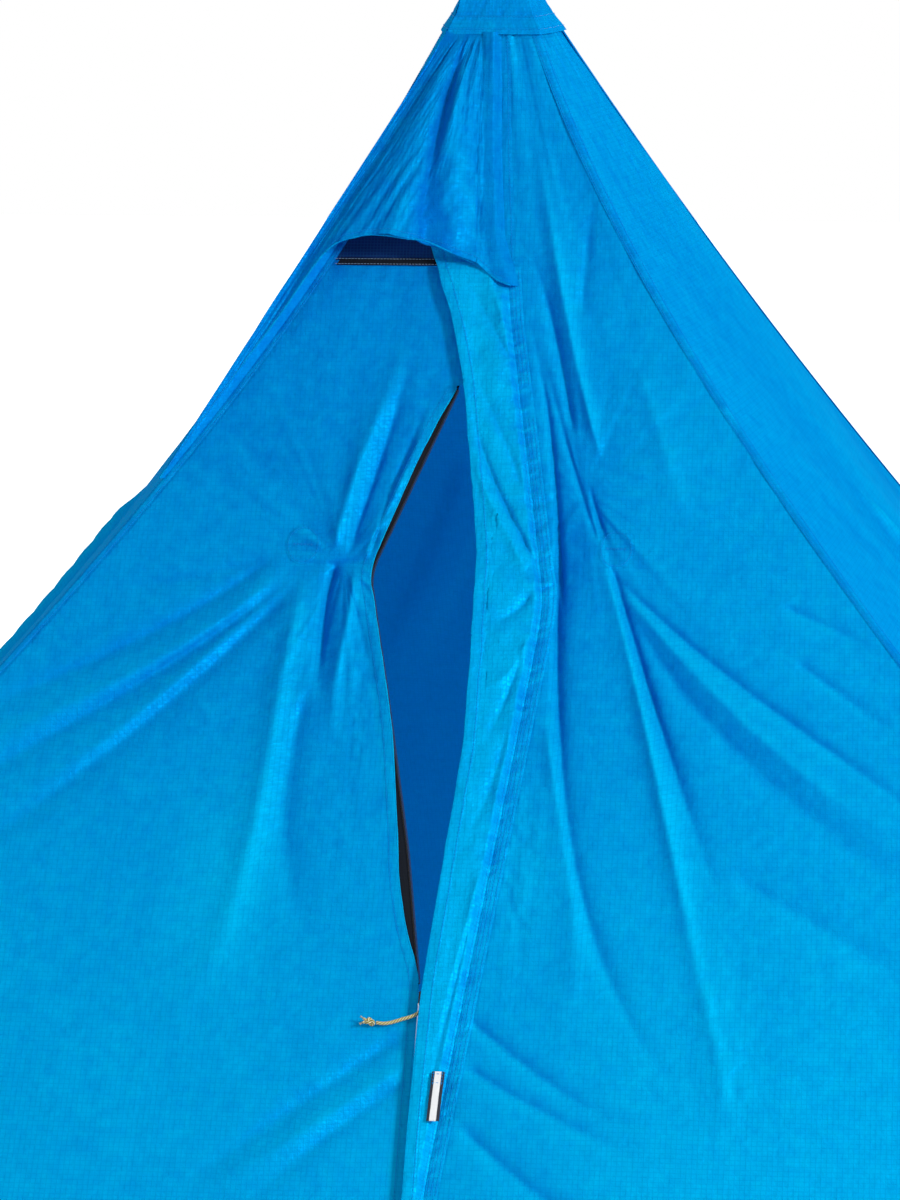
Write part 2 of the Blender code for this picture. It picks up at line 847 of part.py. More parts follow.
def slider(name, z, way):
    """A zip slider: two plates joined by a post at the head, a channel for the coil, slots for
    the tapes and a bail on top. way is 1 where the head points up, -1 where it points down."""
    place = zip_frame(z) @ Matrix.Diagonal((way, way, 1, 1))
    half, reach = SLIDER_WIDTH / 2, SLIDER_LENGTH / 2
    ceiling = CHAIN_RISE + SLIDER_CLEAR
    floor = -CLOTH - CHAIN_RISE - SLIDER_CLEAR
    top, under = ceiling + SLIDER_PLATE, floor - SLIDER_PLATE
    made = block(name, (-half, -reach, under), (half, reach, top), SHELTER, place)
    made.data.materials.append(ALLOY)
    coil = CHAIN_COIL / 2 + SLIDER_CLEAR
    head = reach - SLIDER_POST
    cuts = [helper(f"{name}_channel", (-coil, -reach - OVERCUT, floor), (coil, head, ceiling), place)]
    for side in (-1, 1):
        near, far = sorted((side * SLIDER_POST_HALF, side * (half + OVERCUT)))
        low = (near, -reach - OVERCUT, -CLOTH - SLIDER_CLEAR)
        high = (far, reach + OVERCUT, SLIDER_CLEAR)
        cuts.append(helper(f"{name}_slot_{'left' if side < 0 else 'right'}", low, high, place))
    for cut in cuts:
        combine(made, cut, "DIFFERENCE")
    crown = top + BAIL_RISE
    low = (-BAIL_HALF, -BAIL_REACH, top - SLIDER_PLATE / 2)
    bail = helper(f"{name}_bail", low, (BAIL_HALF, BAIL_REACH, crown), place)
    combine(made, bail, "UNION")
    eye_reach = BAIL_REACH - BAIL_LEG
    eye = helper(
        f"{name}_eye", (-half, -eye_reach, top), (half, eye_reach, crown - BAIL_LEG), place
    )
    combine(made, eye, "DIFFERENCE")
    soften = made.modifiers.new("worn_edges", "BEVEL")
    soften.width = SLIDER_WORN_EDGE
    soften.segments = 1
    soften.limit_method = "ANGLE"
    soften.angle_limit = radians(40)
    return made


# Pull cord from the lower slider's bail, as (across, along, out) from the slider's middle
CORD_ROUTE = (
    (0.0000, -0.0062, 0.0050),
    (0.0000, -0.0100, 0.0050),
    (-0.0008, -0.0140, 0.0050),
    (-0.0030, -0.0178, 0.0049),
    (-0.0070, -0.0208, 0.0048),
    (-0.0120, -0.0230, 0.0047),
    (-0.0180, -0.0250, 0.0046),
    (-0.0240, -0.0272, 0.0044),
    (-0.0300, -0.0293, 0.0046),
    (-0.0365, -0.0305, 0.0052),
    (-0.0430, -0.0302, 0.0060),
)


def build_cord():
    frame = zip_frame(SLIDER_Z)
    route = [frame @ Vector(point) for point in CORD_ROUTE]
    curve = bpy.data.curves.new("pull_cord", "CURVE")
    curve.dimensions = "3D"
    curve.bevel_depth = CORD / 2
    curve.bevel_resolution = 2
    curve.use_fill_caps = True
    spline = curve.splines.new("POLY")
    spline.points.add(len(route) - 1)
    for point, place in zip(spline.points, route):
        point.co = (*place, 1)
    curve.materials.append(CORD_FINISH)
    SHELTER.objects.link(bpy.data.objects.new("pull_cord", curve))
    onward = (route[-1] - route[-2]).normalized()
    ball = bmesh.new()
    bmesh.ops.create_uvsphere(ball, u_segments=16, v_segments=10, radius=1.0)
    bmesh.ops.scale(ball, vec=Vector(KNOT), verts=ball.verts)
    mesh = bpy.data.meshes.new("cord_knot")
    ball.to_mesh(mesh)
    ball.free()
    mesh.shade_smooth()
    turn = Vector((1, 0, 0)).rotation_difference(onward).to_matrix().to_4x4()
    centre = route[-1] + onward * (KNOT[0] + GAP)
    add("cord_knot", mesh, CORD_FINISH, Matrix.Translation(centre) @ turn)


def build_zip():
    rise = zip_frame(SLIDER_Z).to_3x3() @ Vector((0, 1, 0))
    head = (SLIDER_LENGTH / 2 - SLIDER_POST - GAP) * rise.z
    chain("zip_chain_lower", HEM_LIFT + CLOTH, SLIDER_Z + head)
    slider("lower_slider", SLIDER_Z, 1)
    upper = ZIP_TOP + SLIDER_LENGTH / 2 + STEP_ROW
    chain("zip_chain_upper", upper - head, SILL - GAP - CLOTH)
    slider("upper_slider", upper, -1)
    build_cord()


# Small sewn pieces on doors and flap

def disc(share, level):
    """Map a square grid onto a round patch."""
    u, v = 2 * share - 1, 2 * level - 1
    return u * (1 - v * v / 2) ** 0.5, v * (1 - u * u / 2) ** 0.5


def build_sewn():
    for side, word in ((-1, "left"), (1, "right")):
        _, foot = hinge_ends(side)
        centre = ZIP_X + side * TIE_OUT

        def place(share, level):
            u, v = disc(share, level)
            return front(centre + u * PATCH_DISC, TIE_Z + v * PATCH_DISC, LAP)

        rows = [n / 6 for n in range(7)]
        sheet(f"tie_patch_{word}", SEAM, 6, rows, place, CLOTH, True, foot)

    pivot, _ = flap_hinge()
    above = LAP + FLAP_RISE + CLOTH + LAP
    top = HEIGHT - TAB_DROP
    upward = zip_frame(top).to_3x3() @ Vector((0, 1, 0))

    def tab(share, z):
        return front(TAB_X + (share - 0.5) * TAB_WIDTH, z, above)

    sheet("reflective_tab", REFLECTIVE, 1, [top - TAB_LENGTH * upward.z, top], tab, CLOTH, True, pivot)


# Corner and hem hardware

def ridge_reach(z, lift):
    """Distance from the axis to the outside of a corner patch, on the diagonal, at height z."""
    def outer(w):
        left = wall("left", -PATCH_FLANGE, w, 1.0) - wall("left", -PATCH_FLANGE, w)
        fore = wall("front", PATCH_FLANGE, w, 1.0) - wall("front", PATCH_FLANGE, w)
        left.normalize()
        fore.normalize()
        return corner("front_left", w) + (left + fore) * lift / (1 + left.dot(fore))

    level = z
    for _ in range(4):
        level += z - outer(level).z
    spot = outer(level)
    return hypot(spot.x, spot.y)


NECK_HALF = STRAP + 0.0001


def strap_tab():
    """Side view of a webbing tab: a neck of two layers and a ring round the buckle's bar."""
    ring = RING_BORE + RING_WALL
    meet = np.degrees(np.arcsin(NECK_HALF / ring))
    outer = [(-ring - TAB_NECK, -NECK_HALF), *arc(0, 0, ring, 180 + meet, 540 - meet, 18)]
    outer.append((-ring - TAB_NECK, NECK_HALF))
    return [outer, arc(0, 0, RING_BORE, 0, 345, 23)]


def loop_side(start, neck, inner):
    """Side view of a stake loop: narrow at start, open at its far end."""
    far = start + LOOP_LENGTH - LOOP_OPEN / 2

    def ring(grow, front_x):
        tight = inner + grow
        wide = LOOP_OPEN / 2 + grow
        bend = arc(far, 0, wide, -90, 90, 8)
        split = start + LOOP_BEND
        return [(front_x, -tight), (split, -tight), *bend, (split, tight), (front_x, tight)]

    return [ring(STRAP, start - STRAP - neck), ring(0, start)]


def rectangle(near, far, half):
    return [(near, -half), (far, -half), (far, half), (near, half)]


def build_corners():
    back = -BAR / 2
    step = BAR + SLOT
    frame = rectangle(back, back + 2 * step + BAR, BUCKLE_WIDTH / 2)
    slots = []
    for n in range(2):
        near = back + BAR + n * step
        slots.append(rectangle(near, near + SLOT, TAB_STRAP / 2 + SLOT_CLEAR))
    low = BAR_HEIGHT - NECK_HALF
    reach = ridge_reach(low, LAP + CLOTH) + GAP + TAB_NECK + RING_BORE + RING_WALL
    upright = Matrix.Rotation(radians(90), 4, "X")
    for end, (side, way, _) in CORNERS.items():
        spot = Vector((side, way, 0)).normalized() * reach
        heading = Vector((side, way, 0)).to_track_quat("X", "Z").to_matrix().to_4x4()
        place = Matrix.Translation((spot.x, spot.y, BAR_HEIGHT)) @ heading
        outline(f"corner_tab_{end}", strap_tab(), TAB_STRAP / 2, WEBBING, place @ upright)
        outline(f"ladder_lock_{end}", [frame, *slots], BUCKLE_WALL / 2, PLASTIC, place)
        start = back + 2 * step - GAP
        loop = loop_side(start, 0.0, BUCKLE_WALL / 2 + GAP)
        outline(f"stake_loop_{end}", loop, TAB_STRAP / 2, WEBBING, place @ upright)


def build_hem_loops():
    upright = Matrix.Rotation(radians(90), 4, "X")
    low = BAR_HEIGHT - STRAP - HEM_LOOP_HALF
    shape = loop_side(0.0, LOOP_TAIL, HEM_LOOP_HALF)
    for name, heading in (("left", (-1, 0, 0)), ("right", (1, 0, 0)), ("back", (0, 1, 0))):
        heading = Vector(heading)
        left, right = (corner(end, low) for end in WALLS[name])
        spot = wall(name, (right - left).length / 2, low)
        reach = spot.dot(heading) + GAP + STRAP + LOOP_TAIL
        turn = heading.to_track_quat("X", "Z").to_matrix().to_4x4()
        place = Matrix.Translation(heading * reach + Vector((0, 0, BAR_HEIGHT))) @ turn
        outline(f"hem_loop_{name}", shape, TAB_STRAP / 2, WEBBING, place @ upright)


# Centre pole

STEPS = 24


def turned(name, profile, material, closed=False):
    """A profile of (radius, height) turned round the pole's axis."""
    mesh = bpy.data.meshes.new(name)
    points = [(radius, 0.0, height) for radius, height in profile]
    edges = [(n, n + 1) for n in range(len(points) - 1)]
    if closed:
        edges.append((len(points) - 1, 0))
    mesh.from_pydata(points, edges, [])
    made = add(name, mesh, material)
    spin = made.modifiers.new("turned", "SCREW")
    spin.steps = STEPS
    spin.render_steps = STEPS
    spin.use_merge_vertices = True
    spin.merge_threshold = 0.00001
    spin.use_smooth_shade = True
    return made


def tube(name, outer, wall_thickness, low, high):
    inner = outer - wall_thickness
    return turned(name, [(outer, high), (outer, low), (inner, low), (inner, high)], ALLOY, True)


def build_pole():
    bore = UPPER_TUBE_R - TUBE_WALL
    lower_r = bore - TUBE_CLEAR
    cup_top = HEIGHT - GAP
    cup_foot = cup_top - CUP_LENGTH
    cup_roof = HEIGHT - CUP_ROOF
    cup_bore = TIP_R + GAP
    tip_top = cup_roof - GAP
    flange_top = cup_foot - TIP_FLANGE
    flange = flange_top - TIP_FLANGE
    plug = bore - GAP

    turned("peak_cup", [
        (0, cup_top), (CUP_R - CUP_SHOULDER, cup_top), (CUP_R, cup_top - CUP_SHOULDER),
        (CUP_R, cup_foot + CUP_LIP), (CUP_R - CUP_LIP, cup_foot), (cup_bore + CUP_LIP / 3, cup_foot),
        (cup_bore, cup_foot + CUP_LIP / 3), (cup_bore, cup_roof), (0, cup_roof),
    ], PLASTIC)
    turned("pole_tip", [
        (0, tip_top), (TIP_R - TIP_CHAMFER, tip_top), (TIP_R, tip_top - TIP_CHAMFER), (TIP_R, flange_top),
        (UPPER_TUBE_R, flange_top), (UPPER_TUBE_R, flange), (plug, flange),
        (plug, flange - TIP_DEPTH), (0, flange - TIP_DEPTH),
    ], PLASTIC)
    tube("pole_upper_tube", UPPER_TUBE_R, TUBE_WALL, UPPER_TUBE_FOOT, flange - GAP)
    tube("pole_lower_tube", lower_r, TUBE_WALL, FOOT_SEAT + GAP, LOWER_TUBE_TOP)
    socket = lower_r + GAP
    sleeve = socket + FOOT_WALL
    turned("pole_foot", [
        (socket, FOOT_HEIGHT), (sleeve - FOOT_EDGE, FOOT_HEIGHT), (sleeve, FOOT_HEIGHT - FOOT_EDGE),
        (sleeve, 2 * FOOT_FLARE), (FOOT_R, FOOT_FLARE), (FOOT_R, FOOT_EDGE), (FOOT_R - FOOT_EDGE, 0),
        (0, 0), (0, FOOT_SEAT), (socket, FOOT_SEAT),
    ], RUBBER, True)
    build_clamp()


def clamp_pin_x():
    return COLLAR_R + LEVER_CLEAR + LEVER_HUB_R


def build_clamp():
    """A collar with two ears and a pin, and a lever that lies round it."""
    pin_x = clamp_pin_x()
    half = COLLAR_LENGTH / 2
    middle = UPPER_TUBE_FOOT - COLLAR_OVERHANG + half
    ear_top = half - COLLAR_EDGE
    gap_half = ear_top - EAR_LENGTH
    bore = UPPER_TUBE_R + GAP
    collar = turned("clamp_collar", [
        (COLLAR_R - COLLAR_EDGE, middle + half), (COLLAR_R, middle + ear_top),
        (COLLAR_R, middle - ear_top), (COLLAR_R - COLLAR_EDGE, middle - half),
        (bore, middle - half), (bore, middle + half),
    ], PLASTIC, True)
    centre = Matrix.Translation((0, 0, middle))
    root = (COLLAR_R + bore) / 2
    ear_end = pin_x + EAR_REACH
    ears = helper("clamp_ears", (root, -EAR_HALF, -ear_top), (ear_end, EAR_HALF, ear_top), centre)
    combine(collar, ears, "UNION")
    cut_half = EAR_HALF + OVERCUT
    low = (COLLAR_R + LEVER_CLEAR / 2, -cut_half, -gap_half)
    gap = helper("clamp_gap", low, (ear_end + OVERCUT, cut_half, gap_half), centre)
    combine(collar, gap, "DIFFERENCE")
    pin_mesh = bmesh.new()
    bmesh.ops.create_cone(pin_mesh, cap_ends=True, segments=16, radius1=LEVER_PIN_R,
                          radius2=LEVER_PIN_R, depth=2 * (gap_half + COLLAR_EDGE))
    mesh = bpy.data.meshes.new("clamp_pin")
    pin_mesh.to_mesh(mesh)
    pin_mesh.free()
    pin = bpy.data.objects.new("clamp_pin", mesh)
    pin.matrix_world = Matrix.Translation((pin_x, 0, middle))
    pin.hide_render = True
    pin.display_type = "WIRE"
    CUTTERS.objects.link(pin)
    combine(collar, pin, "UNION")

    inner = COLLAR_R + LEVER_CLEAR
    outer = inner + LEVER_WALL
    plate = arc(0, 0, outer, LEVER_START, LEVER_END, 12) + arc(0, 0, inner, LEVER_END, LEVER_START, 12)
    shape = [(x - pin_x, y) for x, y in plate] + arc(0, 0, LEVER_HUB_R, 150, 440, 14)
    hole = arc(0, 0, LEVER_PIN_R + GAP, 0, 337.5, 15)
    place = Matrix.Translation((pin_x, 0, middle))
    outline("clamp_lever", [shape, hole], gap_half - GAP, PLASTIC, place)


build_front()
build_flap()
build_walls()
build_ridges()
build_cap()
build_vent()
build_hood()
build_zip()
build_sewn()
build_corners()
build_hem_loops()
build_pole()


def report_hinges():
    """Print the joints' axes in world metres."""
    for side, word in ((-1, "left"), (1, "right")):
        top, foot = hinge_ends(side)
        way = (top - foot).normalized()
        print(f"{word} door axis", [round(v, 5) for v in foot], [round(v, 6) for v in way])
    low, way = flap_hinge()
    print("flap axis", [round(v, 5) for v in low], [round(v, 6) for v in way])
    left, way = brim_hinge()
    print("brim axis", [round(v, 5) for v in left], [round(-v, 6) for v in way])
    for z in (SLIDER_Z, ZIP_TOP + SLIDER_LENGTH / 2 + STEP_ROW):
        frame = zip_frame(z)
        print("zip frame", [round(v, 5) for v in frame.translation],
              [round(v, 6) for v in frame.to_3x3() @ Vector((0, 1, 0))])
    for name in CORNERS:
        place = bpy.data.objects[f"ladder_lock_{name}"].matrix_world
        print(name, [round(v, 5) for v in place.translation], [round(v, 6) for v in place.to_3x3().col[1]])
    print("lever axis", clamp_pin_x(), UPPER_TUBE_FOOT)


report_hinges()
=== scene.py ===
# %% [markdown]
# # A one-pole pyramid shelter in ripstop nylon
# The imported model is the frame of this lesson. It holds every solid at its real size, in metres,
# with +Z up and the front at -Y. Each cloth piece below is laid over the same laws of shape as
# its solid, with the folds, hems and stitches that a plain solid leaves out, and most pieces then
# ride on the body that carries them.

import bmesh
import bpy
import numpy as np
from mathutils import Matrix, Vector


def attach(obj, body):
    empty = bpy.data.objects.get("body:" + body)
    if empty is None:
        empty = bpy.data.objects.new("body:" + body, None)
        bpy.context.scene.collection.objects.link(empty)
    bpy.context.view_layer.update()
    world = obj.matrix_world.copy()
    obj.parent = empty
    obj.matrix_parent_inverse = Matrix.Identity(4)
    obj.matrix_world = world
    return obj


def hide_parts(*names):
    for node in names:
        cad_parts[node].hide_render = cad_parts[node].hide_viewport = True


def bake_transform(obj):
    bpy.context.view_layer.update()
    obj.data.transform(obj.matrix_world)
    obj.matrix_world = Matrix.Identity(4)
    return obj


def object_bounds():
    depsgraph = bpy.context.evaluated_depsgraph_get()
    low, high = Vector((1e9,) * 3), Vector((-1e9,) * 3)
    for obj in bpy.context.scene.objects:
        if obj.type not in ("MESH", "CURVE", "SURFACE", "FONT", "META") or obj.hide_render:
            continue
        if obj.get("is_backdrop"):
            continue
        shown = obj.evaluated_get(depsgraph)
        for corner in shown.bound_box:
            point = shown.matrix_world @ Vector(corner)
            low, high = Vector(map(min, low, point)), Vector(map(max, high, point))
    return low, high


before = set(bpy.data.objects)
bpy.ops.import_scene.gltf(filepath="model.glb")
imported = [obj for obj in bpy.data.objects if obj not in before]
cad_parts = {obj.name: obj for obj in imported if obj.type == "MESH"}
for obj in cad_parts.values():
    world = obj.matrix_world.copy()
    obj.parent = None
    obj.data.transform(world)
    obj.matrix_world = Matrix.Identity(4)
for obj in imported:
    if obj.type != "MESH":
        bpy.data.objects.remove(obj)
cad_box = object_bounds()

# %% [markdown]
# ## Camera
# The photograph looks at the upper front of the shelter from a little to the right and slightly
# above, through a long lens, so that the sides hardly converge. The same view is had here from
# 4.5 m with a 135 mm lens. A camera looks along its own -Z, so the line of sight is turned into
# a rotation that keeps Y upright.

# %% Camera at the photograph's angle
LOOK_AT = Vector((-0.0066, -0.45, 0.8431))
AZIMUTH, ELEVATION = np.radians((5.7953, 9.6526))
DISTANCE = 4.5
LENS = 134.97


def stand(name, data):
    """Put mesh, lamp or camera data into the scene as an object."""
    made = bpy.data.objects.new(name, data)
    bpy.context.scene.collection.objects.link(made)
    return made


def look_along(line):
    return line.to_track_quat("-Z", "Y").to_euler()


level_sight = np.array((-np.sin(AZIMUTH), np.cos(AZIMUTH), 0)) * np.cos(ELEVATION)
sight = Vector(level_sight - (0, 0, np.sin(ELEVATION)))
camera = stand("photo_camera", bpy.data.cameras.new("photo_camera"))
camera.data.lens = LENS
camera.location = LOOK_AT - sight * DISTANCE
camera.rotation_euler = look_along(sight)
bpy.context.scene.camera = camera
print("camera at", [round(v, 3) for v in camera.location])

# %% [markdown]
# ## Laws of shape
# A pyramid shelter hangs from its peak and is staked at its corners, so its ridges are not
# straight: each hangs in a shallow hollow curve. The front is ruled across from ridge to ridge.
# Where the zip is closed it pulls the cloth into a straight run. Everything sewn to the front is
# placed by these few functions, which work on whole arrays.

# %% Ridges, front and walls
HEIGHT = 1.45
HALF_BASE = 1.15
PEAK_HALF = 0.027
HEM = 0.0009
ZIP_X = -0.006
ZIP_TOP = 1.036
OPEN_FROM, OPEN_TO = 0.512, 1.030
SLIDER_Z = 0.500
SILL = 1.150
PANEL_TOP = 1.414
CAP_FOOT = 1.390
RUN_SPREAD = 0.07
CORNER_REACH = 0.012
STRAIGHT_RUNS = ((0.0, SLIDER_Z + 0.02), (ZIP_TOP - 0.02, SILL + 0.01))


def ridge_half(z, hollow, power):
    up = z / HEIGHT
    return PEAK_HALF + (HALF_BASE - PEAK_HALF) * (1 - up) * (1 - hollow * up**power)


def front_half(z):
    return ridge_half(z, 0.6265, 2)


def back_half(z):
    return ridge_half(z, 0.2276, 1)


def ridge_left(z):
    return -front_half(z)


def ease(share):
    share = np.clip(share, 0.0, 1.0)
    return share * share * (3 - 2 * share)


def bell(distance, width):
    return np.exp(-((distance / width) ** 2))


def unit(vectors):
    return vectors / np.linalg.norm(vectors, axis=-1, keepdims=True)


def length_along(line):
    """Distance from the first point of a line to each of its points."""
    return np.concatenate([[0], np.cumsum(np.linalg.norm(np.diff(line, axis=0), axis=1))])


def through(z, points):
    """The x of a line drawn through (height, x) points in millimetres, its corners rounded off."""
    heights, offsets = np.array(points).T / 1000
    steps = np.linspace(-CORNER_REACH, CORNER_REACH, 5)
    return sum(np.interp(z + step, heights, offsets) for step in steps) / len(steps)


def straightening(z, low, high):
    share = np.clip((z - low) / (high - low), 0, 1)
    straight = front_half(low) * (1 - share) + front_half(high) * share
    return np.where((z > low) & (z < high), straight - front_half(z), 0.0)


print("ridge half width at zip top:", round(float(front_half(ZIP_TOP)), 4))

# %% [markdown]
# ## Ripples that are the same on each run
# Thin cloth is never smooth between its seams. A small lattice of fixed random numbers, read with
# a smooth blend between neighbours, gives soft hills and valleys. Stretching what is fed into it
# turns the hills into creases that run one way, and feeding it an angle and a distance makes
# creases that fan out from a point, as they do from a stake, a pinch or the peak.

# %% Ripple, fan and fold helpers
LATTICE_SIZE = 256
LATTICE = np.random.default_rng(11).uniform(-1, 1, (LATTICE_SIZE, LATTICE_SIZE))


def ripple(u, v):
    iu, iv = np.floor(u).astype(int), np.floor(v).astype(int)
    fu, fv = ease(u - iu), ease(v - iv)

    def row(iv):
        here, after = (LATTICE[at % LATTICE_SIZE, iv % LATTICE_SIZE] for at in (iu, iu + 1))
        return here * (1 - fu) + after * fu

    return row(iv) * (1 - fv) + row(iv + 1) * fv


def fan(x, z, centre, spokes, reach, seed=0.0):
    """Creases that fan out from a centre and fade over reach metres."""
    dx, dz = x - centre[0], z - centre[1]
    away = np.hypot(dx, dz)
    turn = np.arctan2(dz, dx) + 3.2
    coarse = ripple(turn * spokes + seed, away * 7 + seed)
    fine = ripple(turn * spokes * 2.3, away * 11 + seed)
    return (coarse + 0.5 * fine) * ease(away / 0.05) * np.exp(-away / reach)


FOLD_OPENS, FOLD_FADES = 0.12, 0.55
FOLD_NARROWED = 0.85
CREST, CREST_FALL = 0.26, 1.6


def fold(x, z, path, spread, rise):
    """One long fold along a path of (x, height) points, all in millimetres: a crest where rise is
    above 0. It widens along its path, and its crest is crisp, as thin coated cloth creases."""
    way = np.array(path) / 1000
    run = way[-1] - way[0]
    length = np.hypot(*run)

    def place(px, pz):
        along = ((px - way[0, 0]) * run[0] + (pz - way[0, 1]) * run[1]) / length**2
        aside = ((pz - way[0, 1]) * run[0] - (px - way[0, 0]) * run[1]) / length
        return along, aside

    bend = np.polyfit(*place(way[:, 0], way[:, 1]), min(3, len(way) - 1))
    along, aside = place(x, z)
    inside = np.clip(along, 0, 1)
    offset = (aside - np.polyval(bend, inside)) / (FOLD_NARROWED * spread / 1000 * (1 + inside))
    taper = ease(along / FOLD_OPENS) * ease((1 - along) / FOLD_FADES)
    return taper * rise / 1000 * np.exp(CREST_FALL * (CREST - np.sqrt(offset**2 + CREST**2)))


def folded(x, z, folds):
    return sum(fold(x, z, *line) for line in folds)


def spots(x, z, table):
    """Soft oval spots, each given as its middle x and z, half width, half height and strength."""
    return sum(
        strength * bell(x - middle_x, wide) * bell(z - middle_z, tall)
        for middle_x, middle_z, wide, tall, strength in table
    )


print("lattice mean:", round(float(LATTICE.mean()), 4))

# %% [markdown]
# ## The front as one surface
# Every sheet, seam and patch of the front asks the same function for its depth. Its long folds
# are the main folds of the solids, drawn as curves, with narrower ones added. Most of them run
# from the pinch of a door, where a tie inside pulls the cloth. Between them lie finer creases that
# the cloth shows when light rakes over it. All of them fade out beside the ridges, where the cloth
# is sewn down and taut.

# %% Folds of the front: path, spread and rise, in millimetres
FOLDS = (
    # Pleats of the left door, from the pinch up to the zip's top
    (((-134, 872), (-124, 927), (-95, 1018), (-70, 1095)), 10, 7.5),
    (((-120, 868), (-100, 941), (-84, 999), (-66, 1080)), 6.5, -6),
    (((-104, 868), (-78, 928), (-61, 968), (-40, 1036)), 6, 5.5),
    (((-96, 870), (-80, 932), (-63, 980), (-44, 1034)), 4.2, -4.5),
    (((-142, 865), (-118, 867), (-92, 870)), 3.2, -2.8),
    # Folds of the left door that fall from the pinch
    (((-129, 870), (-137, 834), (-139, 805), (-135, 730)), 6.5, -9.5),
    (((-111, 868), (-111, 834), (-115, 801), (-108, 690)), 8.5, 7),
    (((-158, 856), (-168, 817), (-178, 712), (-198, 581), (-285, 430)), 17, 9),
    (((-148, 760), (-159, 658), (-150, 600), (-90, 520)), 17, -6),
    # Long creases from the left tie patch to the ridge
    (((-160, 862), (-242, 804), (-319, 754), (-449, 684), (-580, 610)), 9, -8),
    (((-176, 868), (-300, 780), (-450, 710), (-580, 650)), 11, 5.5),
    (((-185, 877), (-246, 838), (-303, 803), (-458, 739), (-560, 700)), 8, -6.2),
    (((-155, 858), (-222, 800), (-301, 722), (-439, 629), (-560, 550)), 11, -6.8),
    (((-162, 860), (-235, 800), (-335, 716), (-460, 645)), 9, 5.8),
    (((-200, 870), (-285, 850), (-385, 836)), 9, -2.8),
    # Creases below the lower slider, on the left
    (((-12, 474), (-71, 440), (-136, 400), (-260, 335)), 9, -5.5),
    (((-12, 450), (-60, 424), (-115, 392), (-220, 340)), 8, 4.5),
    (((-13, 432), (-50, 413), (-91, 387), (-180, 325)), 7.5, -4.8),
    (((-14, 330), (-110, 270), (-300, 190)), 14, -5.5),
    # Folds of the right door, from the tie patch down
    (((119, 940), (142, 884), (165, 810), (198, 719), (269, 481), (300, 395)), 8.5, 9),
    (((128, 932), (155, 860), (178, 790), (209, 727), (245, 640), (285, 560)), 7, -9),
    (((90, 915), (102, 850), (101, 757), (107, 709), (194, 486), (280, 400)), 7.5, -8),
    (((92, 740), (111, 663), (130, 587), (137, 520), (128, 450)), 11, 5.5),
    (((150, 862), (215, 811), (282, 764), (444, 669), (540, 610)), 5.8, -5.2),
    (((160, 850), (250, 765), (350, 690), (490, 610)), 10, 4.5),
    (((165, 840), (218, 767), (284, 705), (349, 660), (520, 545)), 15, -5.5),
    (((320, 836), (450, 786)), 5.5, -2.6),
    (((335, 788), (460, 712)), 7, -3),
    (((280, 605), (379, 559), (540, 480)), 12, -3.5),
    (((262, 520), (282, 450), (300, 400)), 14, 4),
    (((28, 490), (97, 447), (142, 424), (230, 396)), 7, -4.5),
    (((30, 450), (130, 407), (240, 372)), 7, -4.2),
    (((30, 404), (118, 348), (250, 285)), 8.5, -5),
    (((30, 300), (140, 235), (320, 160)), 13, -5),
    # Folds beside the top seam and the flap
    (((136, 960), (108, 1044), (86, 1120), (60, 1238), (46, 1310)), 8.5, 6.5),
    (((104, 985), (87, 1056), (70, 1112), (44, 1180)), 6, -6.2),
    (((140, 880), (101, 970), (80, 1028), (60, 1085)), 4, -4),
    (((104, 820), (91, 925), (77, 1004), (60, 1071), (45, 1115)), 3.6, -6.5),
    (((120, 950), (152, 863), (175, 790), (207, 727), (245, 640)), 3.6, -5.5),
    (((106, 1100), (110, 1188), (118, 1270)), 8, -3),
    (((165, 1060), (195, 985), (232, 880)), 15, 3),
)
CRUMPLED = (
    (0.076, 0.605, 0.022, 0.080, 0.0024), (0.285, 0.470, 0.026, 0.080, 0.0014),
    (-0.096, 0.735, 0.014, 0.100, 0.0018), (-0.066, 0.965, 0.016, 0.070, 0.0013),
)
PINCH_CREASE = 0.0022
LEFT_PINCH = (-0.122, 0.868)
RIGHT_PINCH = (0.118, 0.935)
PEAK = (0.0, 1.500)
TIE_OUT = 0.160
TIE_Z = 0.883
FACING = 0.0085

# Lines up the front, as (height, x) in millimetres
FLAP_POINTS = (
    (0, 10), (345, 8.5), (800, 80), (837, 83.5), (947, 62), (1044, 43), (1098, 32.5), (1150, 26.5),
    (1220, 22),
)
EDGE_POINTS = (
    (0, -10.5), (400, -10.5), (500, -7.5), (610, 4), (707, 15), (877, 14), (1036, -12), (1090, -26),
    (1170, -56), (1220, -72),
)
TAPE_LEFT = (
    (0, -11), (510, -11), (620, -33), (764, -70), (857, -95), (1036, -15.5),
)
TAPE_RIGHT = (
    (0, -1), (510, -1), (600, 12), (700, 23), (880, 22), (950, 12), (1036, -1),
)
BLACK_SHOWING = (
    (0, -1), (520, 0), (555, 9), (600, 12), (680, 4), (720, 0.5), (845, 0.5), (880, 4.5),
    (960, 7.5), (1010, 6), (1036, 1),
)
TOP_SEAM = ((1130, 26), (1268, 14), (1390, 8), (1450, 6))


def flap_seam(z):
    return through(z, FLAP_POINTS)


def flap_edge(z):
    return through(z, EDGE_POINTS)


def tape_left(z):
    return through(z, TAPE_LEFT)


def door_edge_left(z):
    return tape_left(z) - through(z, BLACK_SHOWING)


def long_relief(x, z):
    calm = ease((front_half(z) - np.abs(x)) / 0.045)
    calm = calm * np.where(x > ZIP_X, ease((x - flap_seam(z) - 0.004) / 0.012), 1.0)
    beside = np.abs(np.abs(x - ZIP_X) - TIE_OUT)
    calm = calm * (0.25 + 0.75 * ease((np.hypot(beside, z - TIE_Z) - 0.014) / 0.016))
    return 1.2 * calm * folded(x, z, FOLDS)


